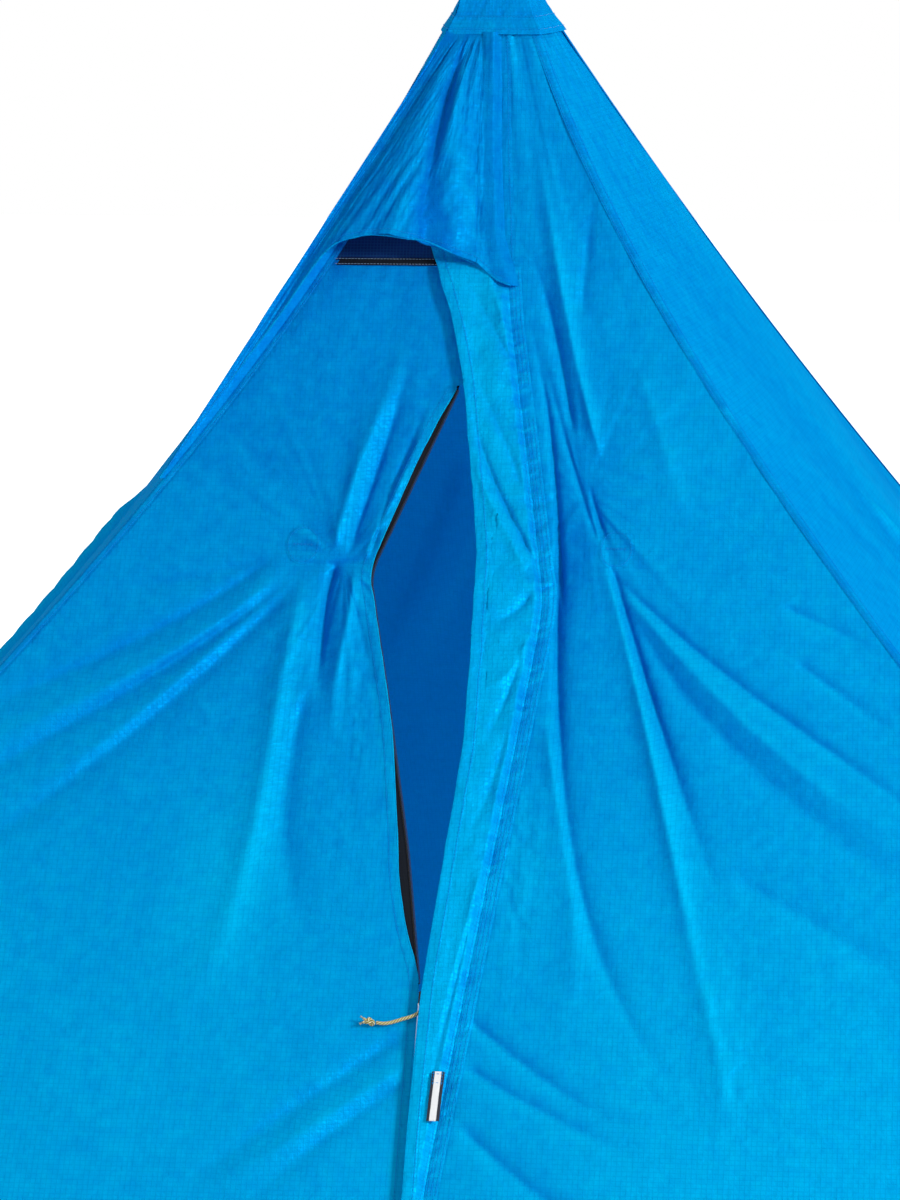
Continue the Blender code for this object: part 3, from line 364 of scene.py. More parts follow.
def fine_relief(x, z):
    calm = ease((front_half(z) - np.abs(x)) / 0.012)
    creases = PINCH_CREASE * fan(x, z, LEFT_PINCH, 7, 0.16) * (x < 0.03)
    creases = creases + PINCH_CREASE * fan(x, z, RIGHT_PINCH, 6, 0.16, 31) * (x > -0.03)
    creases = creases + 0.0018 * fan(x, z, PEAK, 17, 0.45, 57) * ease((z - 0.85) / 0.3)
    for side, seed in ((-1, 9), (1, 21)):
        creases = creases + 0.0050 * fan(x, z, (side * HALF_BASE, 0.0), 5, 0.35, seed)
    creases = creases + 0.0012 * ripple(x * 9 + 40, z * 5) + 0.0004 * ripple(x * 31, z * 23 + 9)
    lines = np.abs(ripple(x * 38 + 12 * z, z * 21 - 9 * x))
    lines = lines + np.abs(ripple(x * 21 - 17 * z, z * 33 + 4))
    creases = creases + 0.0005 * np.minimum(lines, 0.5)
    crumple = ripple(x * 85 + 7, z * 48) + 0.5 * ripple(x * 190, z * 150)
    creases = creases + spots(x, z, CRUMPLED) * crumple
    inside = door_edge_left(z) - x
    beside_zip = z < ZIP_TOP
    faced = (inside < FACING) * ease(inside / 0.0015) * beside_zip
    pucker = ripple(z * 170 + 30 * x, x * 55 + 8) * bell(inside - 0.006, 0.006) * beside_zip
    zipped = np.maximum(ease((0.530 - z) / 0.02), ease((z - 1.020) / 0.02)) * (z < SILL)
    calm = calm * (1 - zipped * (1 - ease((np.abs(x - ZIP_X) - 0.012) / 0.020)))
    return calm * (creases + 0.0006 * faced + 0.0011 * pucker)


def relief(x, z):
    return long_relief(x, z) + fine_relief(x, z)


def front(x, z):
    """Points on the outer face of the front, for arrays of x and height."""
    straight = sum(straightening(z, *run) for run in STRAIGHT_RUNS)
    depth = front_half(z) + straight * bell(x - ZIP_X, RUN_SPREAD) + relief(x, z)
    return np.stack(np.broadcast_arrays(x, -depth, z), axis=-1)


def lifted(place, u, v, lift, step=0.0015):
    """Points that stand lift metres off a surface given by place(u, v)."""
    across = place(u + step, v) - place(u - step, v)
    upward = place(u, v + step) - place(u, v - step)
    normal = unit(np.cross(across, upward))
    return place(u, v) + normal * np.broadcast_to(lift, normal.shape[:-1])[..., None]


print("front at the slider:", front(np.array(ZIP_X), np.array(SLIDER_Z)).round(4))

# %% [markdown]
# ## Weaving a grid into cloth
# A sheet is a grid of points in rows and columns. Its UV map is written in metres of cloth, so
# that the ripstop squares keep their 5 mm wherever the sheet bends. A second attribute paints
# light and shade into the cloth's colour: valleys are painted deeper than crests, as if lit through
# more of their own colour, and cloth near the pale ground is painted lighter, as if lit from below;
# on some pieces it also carries a random mottle.

# %% Sheet builder
CUT = 0.00001
TONE_RANGE = (0.02, 0.98)


def cloth(name, points, uv, material, painted_shade_and_mottle=0.5, joined=slice(None)):
    """A grid of points as a sheet. joined says for each row but the last if it is sewn on."""
    rows, columns = points.shape[:2]
    index = np.arange(rows * columns).reshape(rows, columns)
    corners = (index[:-1, :-1], index[:-1, 1:], index[1:, 1:], index[1:, :-1])
    quads = np.stack(corners, axis=-1)[joined].reshape(-1, 4)
    mesh = bpy.data.meshes.new(name)
    mesh.from_pydata(points.reshape(-1, 3).tolist(), [], quads.tolist())
    layer = mesh.uv_layers.new(name="cloth")
    layer.data.foreach_set("uv", uv.reshape(-1, 2)[quads.ravel()].astype(np.float32).ravel())
    # This attribute is painted light and shade, with a random mottle on some pieces.
    shade = mesh.attributes.new("painted_shade_and_mottle", "FLOAT", "POINT")
    values = np.broadcast_to(painted_shade_and_mottle, points.shape[:2]).astype(np.float32)
    shade.data.foreach_set("value", np.clip(values, *TONE_RANGE).ravel())
    mesh.materials.append(material)
    mesh.shade_smooth()
    return stand(name, mesh)


def slant(heights):
    """Length of cloth up the front to each height, measured on the ridge law."""
    fine = np.linspace(0, HEIGHT, 1500)
    run = np.hypot(np.gradient(front_half(fine)), np.gradient(fine))
    return np.interp(heights, fine, np.cumsum(run))


def lift_at(law, x, z):
    return law(x, z) if callable(law) else law


def front_sheet(name, material, heights, left, right, columns, lift=0.0, crowd=1.0, painted_shade_and_mottle=0.5):
    """A sheet of the front between two edges. crowd above 1 packs its columns to the right edge,
    below -1 to the left edge. Rows closer than CUT are left apart, for an edge that jumps there."""
    share = np.linspace(0, 1, columns)
    share = 1 - (1 - share) ** crowd if crowd > 0 else share ** -crowd
    z = np.repeat(heights[:, None], columns, axis=1)
    x = left(heights)[:, None] * (1 - share) + right(heights)[:, None] * share
    points = lifted(front, x, z, lift_at(lift, x, z))
    uv = np.stack([x, slant(z)], axis=-1)
    return cloth(name, points, uv, material, lift_at(painted_shade_and_mottle, x, z), np.diff(heights) > CUT)


def heights_between(low, high, step):
    return np.linspace(low, high, max(2, int(round((high - low) / step)) + 1))


def front_line(offset, low, high, lift, step=0.004):
    """A line up the front at a law of x, lifted by a number or a law."""
    z = heights_between(low, high, step)
    x = offset(z)
    return lifted(front, x, z, lift_at(lift, x, z))


def set_on(piece, body, slot, *nodes):
    """Ride a piece on its body, if it has one, and hide the CAD nodes that it stands for. Its slot
    is not used.
    """
    if nodes:
        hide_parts(*nodes)
    if body:
        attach(piece, body)
    return piece


print("cloth up the middle of the front:", round(float(slant(HEIGHT)), 3), "m")

# %% [markdown]
# ## Ripstop nylon
# The cloth is thin silicone-coated nylon: a plain weave with a thicker thread every 5 mm each
# way. Light falls on it and also comes through it, so the shader mixes a Principled surface with
# a Translucent one. The painted light and shade attribute picks between a painted shaded blue, a
# middle blue and a painted lit blue, the thick threads come from the UV map, and two sizes of
# noise in the bump give the papery crinkle of coated cloth.

# %% Node helpers
def set_inputs(tree, node, **inputs):
    """Set inputs by socket name, or n0, n1 by place. Sockets are linked, colours get an alpha."""
    for key, value in inputs.items():
        by_place = key[0] == "n" and key[1:].isdigit()
        socket = node.inputs[int(key[1:])] if by_place else node.inputs[key.replace("_", " ")]
        if isinstance(value, bpy.types.NodeSocket):
            tree.links.new(value, socket)
        else:
            socket.default_value = (*value, 1) if socket.type == "RGBA" else value
    return node


def add_node(tree, kind, settings=(), **inputs):
    node = tree.nodes.new(kind)
    for key, value in dict(settings).items():
        setattr(node, key, value)
    return set_inputs(tree, node, **inputs)


def seen_by(tree, *rays):
    """1 on the named kinds of ray, 0 on all others."""
    path = add_node(tree, "ShaderNodeLightPath")
    share, *others = (path.outputs[f"Is {ray} Ray"] for ray in rays)
    for other in others:
        either = add_node(tree, "ShaderNodeMath", {"operation": "MAXIMUM"}, n0=share, n1=other)
        share = either.outputs[0]
    return share


def shaded(colour, factor, added=0.0):
    return tuple(factor * value + added for value in colour)


class Finish:
    """A material in the making. Each method adds one node and gives its output."""

    def __init__(self, name):
        self.material = bpy.data.materials.new(name)
        self.material.use_nodes = True
        self.tree = self.material.node_tree
        self.surface = self.tree.nodes["Principled BSDF"]

    def add(self, kind, settings=(), output=0, **inputs):
        return add_node(self.tree, "ShaderNode" + kind, settings, **inputs).outputs[output]

    def place(self):
        return self.add("TexCoord", output="Object")

    def maths(self, operation, first, second=0.0):
        return self.add("Math", {"operation": operation}, n0=first, n1=second)

    def times(self, first, second):
        return self.maths("MULTIPLY", first, second)

    def blend(self, share, first, second):
        return self.add("Mix", {"data_type": "RGBA"}, output=2, n0=share, n6=first, n7=second)

    def noise(self, scale, detail=3.0, roughness=0.5, where=None):
        place = where or self.place()
        return self.add("TexNoise", Vector=place, Scale=scale, Detail=detail, Roughness=roughness)

    def scatter(self, amount, *noise):
        return self.times(self.maths("SUBTRACT", self.noise(*noise), 0.5), amount)

    def between(self, value, low, high):
        return self.add("MapRange", Value=value, To_Min=low, To_Max=high)

    def bump(self, height, strength, depth):
        return self.add("Bump", Strength=strength, Distance=depth, Height=height)

    def cloth_uv(self):
        uv = self.add("UVMap", {"uv_map": "cloth"})
        return add_node(self.tree, "ShaderNodeSeparateXYZ", Vector=uv).outputs

    def grid_lines(self, pitch, width):
        """1 on the thick threads of a square grid in the UV map, 0 between them."""
        parts, lines = self.cloth_uv(), []
        for axis in range(2):
            cell = self.maths("FRACT", self.times(parts[axis], 1 / pitch))
            middle = self.maths("ABSOLUTE", self.maths("SUBTRACT", cell, 0.5))
            lines.append(self.add(
                "MapRange", {"interpolation_type": "SMOOTHSTEP"},
                Value=middle, From_Min=width / pitch, From_Max=0.0,
            ))
        return self.maths("MAXIMUM", *lines)

    def wear(self, **inputs):
        set_inputs(self.tree, self.surface, **inputs)
        return self.material


print("helpers ready")

# %% Ripstop finishes
RIPSTOP_PITCH = 0.005
RIPSTOP_THREAD = 0.0006


def ripstop(name, shade_colour, middle, lit_colour, through_share, crinkle=1.0):
    paint = Finish(name)
    painted_shade_and_mottle = paint.add("Attribute", {"attribute_name": "painted_shade_and_mottle"}, output="Fac")
    cloud = paint.maths("ADD", paint.scatter(0.16, 6.0), paint.scatter(0.75, 70.0, 5.0, 0.70))
    # The ramp paints light and shade from the attribute, mottled by the random cloud, from a shaded
    # through a middle to a lit colour.
    painted_shade_ramp = add_node(paint.tree, "ShaderNodeValToRGB", Fac=paint.maths("ADD", painted_shade_and_mottle, cloud))
    painted_shade_ramp.color_ramp.elements[0].color = (*shade_colour, 1)
    painted_shade_ramp.color_ramp.elements[1].color = (*lit_colour, 1)
    painted_shade_ramp.color_ramp.elements.new(0.5).color = (*middle, 1)
    threads = paint.grid_lines(RIPSTOP_PITCH, RIPSTOP_THREAD)
    colour = paint.blend(paint.times(threads, 0.27), painted_shade_ramp.outputs[0], shaded(shade_colour, 0.78))
    fine = paint.times(paint.noise(170.0, 2.0), 0.28)
    crumple = paint.maths("ADD", paint.noise(38.0, 4.0, 0.6), fine)
    height = paint.maths("ADD", crumple, paint.times(threads, 0.05))
    normal = paint.bump(height, 0.8, 0.0030 * crinkle)
    paint.wear(
        Base_Color=colour, Normal=normal, Roughness=0.40, Metallic=0.14, Specular_IOR_Level=0.0,
        Specular_Tint=(0.0, 0.75, 1.0),
    )
    back = paint.add("BsdfTranslucent", Color=GLOW, Normal=normal)
    mix = paint.add("MixShader", n0=through_share, n1=paint.surface.outputs[0], n2=back)
    set_inputs(paint.tree, paint.tree.nodes["Material Output"], Surface=mix)
    return paint.material


# Painted shade and painted light of the blue cloth, then the colour of light that comes through it.
SHADED_BLUE = (0.0, 0.150, 0.540)
LIT_BLUE = (0.0, 0.450, 0.790)
GLOW = (0.0, 0.26, 0.76)
BLUE = ripstop("blue_ripstop", SHADED_BLUE, (0.0, 0.300, 0.680), LIT_BLUE, 0.18)
# The flap is the same cloth, painted in lighter blues as if lit through from behind.
FLAP_LIT_RIPSTOP = ripstop(
    "flap_ripstop", (0.0, 0.250, 0.68), (0.0, 0.405, 0.790), (0.0, 0.48, 0.86), 0.18, 1.5
)
SEAM = ripstop("felled_seam", SHADED_BLUE, (0.0, 0.250, 0.61), LIT_BLUE, 0.06, 1.4)
print("cloth finishes:", BLUE.name, FLAP_LIT_RIPSTOP.name, SEAM.name)

# %% [markdown]
# ## Pull cord
# A short braided cord hangs from the lower slider. It comes out from under the storm flap, lies
# across the left door and ends in an overhand knot with frayed ends. A cord is best made as a
# tube swept along one smooth curve, so its length can be measured and never changes by accident.
# The route repeats the points of its solid, given across, along and out from the slider.

# %% Route of the cord
SLIDER_AT = np.array((-0.006, -0.70696, 0.500))
SLIDER_AXES = np.array(((1, 0, 0), (0, 0.663193, 0.748449), (0, -0.748449, 0.663193)))
CORD_RADIUS = 0.0017
CORD_ROUTE = np.array((
    (0, -6.2, 5), (0, -10, 5), (-0.8, -14, 5), (-3, -17.8, 4.9), (-7, -20.8, 4.8), (-12, -23, 4.7),
    (-18, -25, 4.6), (-24, -27.2, 4.4), (-30, -29.3, 4.6), (-36.5, -30.5, 5.2), (-43, -30.2, 6),
)) / 1000


def curve_through(points, at):
    """A Catmull-Rom curve through points, read where at counts along them from 0."""
    n = np.minimum(at.astype(int), len(points) - 2)
    t = (at - n)[..., None]
    padded = np.vstack([2 * points[0] - points[1], points, 2 * points[-1] - points[-2]])
    a, b, c, d = (padded[n + k] for k in range(4))
    square, cube = 2 * a - 5 * b + 4 * c - d, 3 * b - a - 3 * c + d
    return 0.5 * (2 * b + (c - a) * t + square * t**2 + cube * t**3)


def smooth_line(points, count):
    return curve_through(points, np.linspace(0, len(points) - 1, count))


def sweep(line, radius, sides, closed):
    """Points and UVs of a tube round a line, with a frame that turns as little as it can."""
    tangent = np.gradient(line, axis=0)
    if closed:
        tangent = np.roll(line, -1, axis=0) - np.roll(line, 1, axis=0)
    tangent = unit(tangent)
    side = np.cross(tangent[0], (0.3, 0.2, 0.93))
    first = []
    for direction in tangent:
        side = unit(side - direction * side.dot(direction))
        first.append(side)
    first = np.array(first)
    second = np.cross(tangent, first)
    turn = np.linspace(0, 2 * np.pi, sides + 1)
    radius = np.broadcast_to(radius, len(line))[:, None, None]
    around, out = np.cos(turn)[None, :, None], np.sin(turn)[None, :, None]
    ring = around * first[:, None] + out * second[:, None]
    uv = np.stack(np.meshgrid(turn / (2 * np.pi), length_along(line)), axis=-1)
    return line[:, None] + ring * radius, uv


def tube(name, line, radius, sides, material, closed=False):
    points, uv = sweep(line, radius, sides, closed)
    if closed:
        points, uv = np.vstack([points, points[:1]]), np.vstack([uv, uv[:1]])
    return tidy_mesh(cloth(name, points[:, ::-1], uv[:, ::-1], material), cap=not closed)


def tidy_mesh(made, cap=False):
    """Weld a mesh's own seams, close its open ends and turn its faces outwards."""
    body = bmesh.new()
    body.from_mesh(made.data)
    bmesh.ops.remove_doubles(body, verts=body.verts, dist=1e-6)
    if cap:
        bmesh.ops.holes_fill(body, edges=body.edges, sides=0)
        bmesh.ops.recalc_face_normals(body, faces=body.faces)
    body.to_mesh(made.data)
    body.free()
    made.data.shade_smooth()
    return made


cord_line = smooth_line(CORD_ROUTE, 70) @ SLIDER_AXES + SLIDER_AT

# %% Braided cord and its knot
def braid_finish():
    paint = Finish("olive_cord")
    parts = paint.cloth_uv()
    along = paint.times(parts[1], 1 / (2 * CORD_RADIUS))
    around = paint.times(parts[0], 4.0)
    one, other = (
        paint.maths("PINGPONG", paint.maths(way, along, around), 0.5) for way in ("ADD", "SUBTRACT")
    )
    strands = paint.times(one, other)
    fleck = paint.add("MapRange", Value=one, From_Min=0.36, From_Max=0.42)
    # The strands are painted darker where they part: painted shade in the grooves that the bump
    # cuts.
    groove_shaded_gold = paint.blend(paint.times(strands, 4.0), (0.20, 0.16, 0.02), (0.62, 0.53, 0.16))
    return paint.wear(
        Base_Color=paint.blend(fleck, groove_shaded_gold, (0.80, 0.78, 0.66)),
        Normal=paint.bump(strands, 0.9, 0.0004), Roughness=0.75, Specular_IOR_Level=0.2,
    )


KNOT_POINTS = 120
KNOT_SIZE = (0.0040, 0.0027, 0.0018)
FRAY_FIBRES = 9
OLIVE = braid_finish()
pull_cord = tube("pull_cord_braid", cord_line, CORD_RADIUS, 14, OLIVE)
set_on(pull_cord, "lower_slider", "olive_cord", "pull_cord")


def knot_line():
    """A trefoil, which is the shape of an overhand knot with its ends joined."""
    turn = np.linspace(0, 2 * np.pi, KNOT_POINTS, endpoint=False)
    loop = np.stack([
        np.sin(turn) + 2 * np.sin(2 * turn), np.cos(turn) - 2 * np.cos(2 * turn), -np.sin(3 * turn)
    ], axis=1)
    return loop / (3.0, 3.0, 1.0) * KNOT_SIZE


def join(name, pieces):
    """Join finished meshes of one material into one object under a new name."""
    body = bmesh.new()
    for piece in pieces:
        body.from_mesh(piece.data)
    mesh = bpy.data.meshes.new(name)
    body.to_mesh(mesh)
    body.free()
    mesh.materials.append(pieces[0].data.materials[0])
    for piece in pieces:
        bpy.data.objects.remove(piece)
    return stand(name, mesh)


def build_knot():
    onward = unit(cord_line[-1] - cord_line[-2])
    centre = cord_line[-1] + onward * 0.0058
    up = SLIDER_AXES[2]
    axes = np.stack([onward, np.cross(up, onward), up])
    pieces = [tube("loop", knot_line() @ axes + centre, 0.0015, 12, OLIVE, closed=True)]
    random = np.random.default_rng(5)
    for aim in ((0.9, 0.55, 0.1), (0.95, -0.35, 0.2)):
        tail = np.array([(0.0025, 0, 0.0005), (0.0048, 0, 0.0008), (0.0068, 0, 0.001)])
        tail[:, 1] = np.array([0.0006, 0.0014, 0.0024]) * np.sign(aim[1])
        pieces.append(tube("tail", smooth_line(tail, 10) @ axes + centre, 0.0013, 10, OLIVE))
        for _ in range(FRAY_FIBRES):
            way = unit(np.array(aim) + random.normal(0, 0.28, 3))
            fibre = tail[-1] + np.outer(np.linspace(-0.0008, 0.0034, 5), way)
            pieces.append(tube("fibre", fibre @ axes + centre, 0.00016, 4, OLIVE))
    return join("cord_knot_tied", pieces)


knot = build_knot()
set_on(knot, "lower_slider", "olive_cord", "cord_knot")
print("knot faces:", len(knot.data.polygons))

# %% [markdown]
# ## Front cloth, left and right
# On the real shelter each half of the front is cut in one piece with its door, so no seam shows
# where the door folds back. A small gore between the fold line and the zip's top stays with the
# canopy.

# %% Painted light and shade of the front
# Soft spots of painted light, strength above 0, and painted shade, below 0.
PAINTED_LIGHT_SPOTS = (
    (-0.215, 0.60, 0.05, 0.09, 0.28), (0.085, 0.61, 0.03, 0.07, 0.26),
    (0.115, 0.90, 0.03, 0.08, -0.20), (-0.110, 0.86, 0.04, 0.10, -0.12),
    (-0.450, 0.62, 0.20, 0.20, 0.10),
)


def front_painted_shade(x, z):
    """Painted light and shade, 0 shaded and 1 lit. Low cloth, crests and the right are painted
    lighter;
    valleys, faces turned down or to the left away from the lamp, and the top of the left door are
    painted deeper.
    """
    step = 0.0025
    sideways = (relief(x + step, z) - relief(x - step, z)) / (2 * step)
    upward = (relief(x, z + step) - relief(x, z - step)) / (2 * step)
    painted_shade_and_mottle = 0.42 + 0.26 * ease((0.80 - z) / 0.45) + 17 * relief(x, z)
    painted_shade_and_mottle = painted_shade_and_mottle - 0.30 * np.clip(sideways + upward, -0.8, 0.8)
    painted_shade_and_mottle = painted_shade_and_mottle + 0.12 * ease((x - 0.08) / 0.12) - 0.12 * ease((z - 0.90) / 0.08) * (x < 0)
    return painted_shade_and_mottle + spots(x, z, PAINTED_LIGHT_SPOTS)


# %% Edges beside the zip
HINGE_FOOT = 1.1060
HINGE_TOP_LEFT, HINGE_TOP_RIGHT = 0.0510, 0.0390
ZIP_HALF = 0.0052
GORE_GAP = 0.006
BESIDE_HINGE = 0.002


def tape_right(z):
    return through(z, TAPE_RIGHT)


def hinge(top, z):
    """Distance of a door's fold line from the middle of the front."""
    return HINGE_FOOT - (HINGE_FOOT - top) * (z - HEM) / (ZIP_TOP - HEM)


def hinge_left(z):
    return -hinge(HINGE_TOP_LEFT, z)


def hinge_right(z):
    return hinge(HINGE_TOP_RIGHT, z)


def left_edge(z):
    above = np.minimum(hinge_left(z) + BESIDE_HINGE, ZIP_X - ZIP_HALF)
    return np.where(z <= ZIP_TOP, door_edge_left(z), above)


def seam_x(z):
    return through(z, TOP_SEAM)


def right_edge(z):
    above = np.maximum(hinge_right(z) - BESIDE_HINGE, ZIP_X + ZIP_HALF)
    below_sill = np.where(z <= ZIP_TOP, tape_right(z) + 0.002, above)
    return np.where(z < SILL, below_sill, seam_x(z))


print("black tape showing at z 0.60:", round(float(through(np.array(0.6), BLACK_SHOWING)), 4))

# %% Lay the two halves
FRONT_COLUMNS = 235
CROWD = 1.55
APART = CUT / 4
low_rows = heights_between(HEM, 0.28, 0.0065)[:-1]
door_rows = np.concatenate([low_rows, heights_between(0.28, ZIP_TOP - APART, 0.0028)])
left_rows = np.concatenate([door_rows, heights_between(ZIP_TOP + APART, SILL - APART, 0.0033)])
right_rows = np.concatenate([left_rows, heights_between(SILL + APART, PANEL_TOP, 0.0037)])
front_left = front_sheet(
    "front_cloth_left", BLUE, left_rows, ridge_left, left_edge, FRONT_COLUMNS, crowd=CROWD,
    painted_shade_and_mottle=front_painted_shade,
)
set_on(front_left, None, "blue_ripstop", "front_left_panel", "left_door")
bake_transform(front_left)

front_right = front_sheet(
    "front_cloth_right", BLUE, right_rows, right_edge, front_half, FRONT_COLUMNS, crowd=-CROWD,
    painted_shade_and_mottle=front_painted_shade,
)
set_on(front_right, None, "blue_ripstop", "front_right_panel", "right_door")
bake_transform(front_right)


def gore(name, near, far):
    rows = heights_between(ZIP_TOP - 0.002, 1.078, 0.003)
    made = front_sheet(name, BLUE, rows, near, far, 14, lift=0.0003, painted_shade_and_mottle=front_painted_shade)
    return set_on(made, "root", "blue_ripstop")


def beside_zip(side, out=ZIP_HALF):
    return lambda z: ZIP_X + side * out + 0 * z


gore_left = gore(
    "front_gore_left", lambda z: np.minimum(hinge_left(z), ZIP_X - GORE_GAP), beside_zip(-1)
)
gore_right = gore(
    "front_gore_right", beside_zip(1), lambda z: np.maximum(hinge_right(z), ZIP_X + GORE_GAP)
)


def area(piece):
    return sum(face.area for face in piece.data.polygons)


for piece in (front_left, front_right):
    print(piece.name, "cloth area", round(area(piece), 3), "faces", len(piece.data.polygons))

# %% [markdown]
# ## Storm flap
# A strip of the same cloth is sewn beside the zip and lies over it, to keep rain off the coil.
# It is cut in four lengths along one line. Its free edge is turned under and
# stitched, which draws it into small puckers. The sewn edge runs on past its seam as a flat band.

# %% Flap surface
LAP = 0.0005
FLAP_RISE = 0.0095
FLAP_RUN = 0.0085
BAND = 0.013
HEM_WIDTH = 0.011
FLAP_CREASE = ((80, 858), (54, 896), (34, 930), (7, 982), (-8, 1036))
FLAP_CREASES = (
    (FLAP_CREASE, 3.4, -6), (tuple((x - 12, z - 6) for x, z in FLAP_CREASE), 6, 4.2),
    (((56, 930), (37, 974), (17, 1011), (-10, 1062)), 4.6, -3),
    (((50, 1015), (25, 1071), (-2, 1114), (-30, 1156)), 5, -3.2),
    (((40, 1060), (15, 1120), (0, 1160)), 5, 3),
    (((72, 840), (50, 820), (24, 812)), 5, -4),
    (((70, 800), (48, 762), (20, 752)), 5, 3.6),
    (((66, 790), (50, 740), (30, 700)), 4.4, -3.6),
    (((56, 720), (40, 660), (18, 610)), 6, -3),
    (((40, 600), (22, 520), (4, 440)), 4.5, 2.4),
    (((34, 560), (18, 480), (2, 400)), 3.5, -2.6),
)


def fine_gathers(x, z):
    return ripple(z * 250 - 90 * x, x * 60 + 2)


def flap_lift(x, z):
    away = flap_seam(z) - x
    inside = x - flap_edge(z)
    beside_brim = ease((z - 1.108) / 0.030) * ease((x - 0.008) / 0.012)
    under_hood = np.maximum(ease((z - 1.142) / 0.022), beside_brim)
    lift = LAP + (FLAP_RISE - 0.0065 * under_hood) * ease(away / FLAP_RUN) + 0.0006 * (away < 0)
    puffed = ease(away / 0.010) * ease(inside / 0.010) * (1 - 0.6 * under_hood)
    creases = folded(x, z, FLAP_CREASES)
    creases = creases + 0.0018 * ripple(x * 42 + 3, z * 17) + 0.0008 * ripple(x * 95, z * 60 + 5)
    lift = lift + puffed * creases + 0.0005 * (inside < HEM_WIDTH) * ease(inside / 0.0015)
    pucker = bell(inside - HEM_WIDTH, 0.006) * ripple(z * 150 + 40 * x, x * 60 + 8)
    gathers = 0.0009 * ripple(z * 120 - 25 * x, x * 30 + 20) + 0.0006 * fine_gathers(x, z)
    return lift + 0.0006 * pucker + bell(away, 0.012) * gathers


# Painted light and shade of the flap: lighter low down, painted shade along its sewn edge, a darker
# hem, slopes of its lift lighter or darker as light falls on them, crests of its creases and
# gathers lighter and their hollows deeper, over a random mottle.
def flap_painted_shade(x, z):
    away = flap_seam(z) - x
    inside = x - flap_edge(z)
    step = 0.0015
    sideways = (flap_lift(x + step, z) - flap_lift(x - step, z)) / (2 * step)
    painted_shade_and_mottle = 0.50 + 0.20 * ease((0.85 - z) / 0.4) - 0.30 * bell(away + 0.004, 0.012)
    painted_shade_and_mottle = painted_shade_and_mottle - 0.10 * (inside < HEM_WIDTH)
    painted_shade_and_mottle = painted_shade_and_mottle + np.clip(0.16 * sideways, -0.2, 0.2) * ease(away / 0.010)
    painted_shade_and_mottle = painted_shade_and_mottle + 26 * folded(x, z, FLAP_CREASES)
    painted_shade_and_mottle = painted_shade_and_mottle + 0.22 * bell(away, 0.012) * fine_gathers(x, z)
    return painted_shade_and_mottle + 0.10 * ripple(z * 90 + 20 * x, x * 40)


def flap_head(z):
    return flap_seam(z) - 0.9 * np.clip(z - 1.138, 0, None)


def band_edge(z):
    return flap_seam(z) + BAND


# %% Flap in lengths
FLAP_TWISTS = {
    "top": ("root", "right_door", 1.085, 1.037),
    "upper": ("right_door", "storm_flap", 0.910, 0.802),
    "tail": ("right_door", "storm_flap", 0.245, 0.343),
}
TAIL_TOP, LIFT_TOP, FLAP_TOP = 0.345, 0.800, ZIP_TOP - 0.0004


def twist(piece, word):
    """Bake a flap piece's placement into its mesh; the ends listed for it in FLAP_TWISTS do not
    change it.
    """
    near, far, start, end = FLAP_TWISTS[word]
    z = np.array((start, end))
    line = front(flap_edge(z) + 0.02, z)
    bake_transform(piece)


def flap_sheet(name, low, high, left, right, columns, step=0.0018):
    rows = heights_between(low, high, step)
    return front_sheet(name, FLAP_LIT_RIPSTOP, rows, left, right, columns, lift=flap_lift, painted_shade_and_mottle=flap_painted_shade)


def flap_piece(word, low, high, right, columns=56):
    made = flap_sheet(f"storm_flap_{word}_cloth", low, high, flap_edge, right, columns)
    set_on(made, None, "flap_ripstop", f"storm_flap_{word}")
    if word in FLAP_TWISTS:
        twist(made, word)
    return made


flap_top = flap_piece("top", FLAP_TOP, 1.200, flap_head)
flap_upper = flap_piece("upper", LIFT_TOP, FLAP_TOP, flap_seam)
flap_tail = flap_piece("tail", HEM, TAIL_TOP, band_edge, 30)
flap_lower = flap_piece("lower", TAIL_TOP, LIFT_TOP, flap_seam)
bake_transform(flap_lower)

flap_band = flap_sheet(
    "storm_flap_band", TAIL_TOP, 1.150, lambda z: flap_seam(z) - 0.0004, band_edge, 14, 0.0013
)
set_on(flap_band, None, "flap_ripstop")
bend_z = np.array((1.034, 1.004))
band_middle = lifted(front, flap_seam(bend_z) + 0.006, bend_z, 0.001)
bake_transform(flap_band)


def edge_roll(name, edge, lift, low, high, radius, body):
    """The turned edge of a sheet, as a thin roll along it."""
    z = heights_between(low, high, 0.0035)
    line = front_line(edge, low, high, lift, 0.0035)
    roll = tube(name, line, radius * (1 + 0.25 * ripple(z * 120, z * 0)), 8, FLAP_LIT_RIPSTOP)
    return set_on(roll, body, "flap_ripstop")


FLAP_RIMS = (
    ("top", 1.0366, 1.200), ("upper", 0.8010, 1.0350), ("tail", 0.0020, 0.3440),
    ("lower", 0.3460, 0.7990),
)
for word, low, high in FLAP_RIMS:
    body = None if word in FLAP_TWISTS else "storm_flap"
    rim = edge_roll(
        f"flap_rim_{word}", flap_edge, lambda x, z: flap_lift(x, z) - LAP, low, high, 0.0008, body
    )
    if body is None:
        twist(rim, word)
edge_roll("door_rim_left", door_edge_left, -0.0003, OPEN_FROM, 1.032, 0.0009, "left_door")
flap_lengths = (flap_top, flap_upper, flap_lower, flap_tail)
print("flap faces:", sum(len(piece.data.polygons) for piece in flap_lengths))

# %% [markdown]
# ## Vent mesh, binding and top seam
# Above the zip a window of fine black mesh lets damp air out. Its lower edge is bound with black
# tape. Beside it, a flat seam joins the hood to the right half of the front.

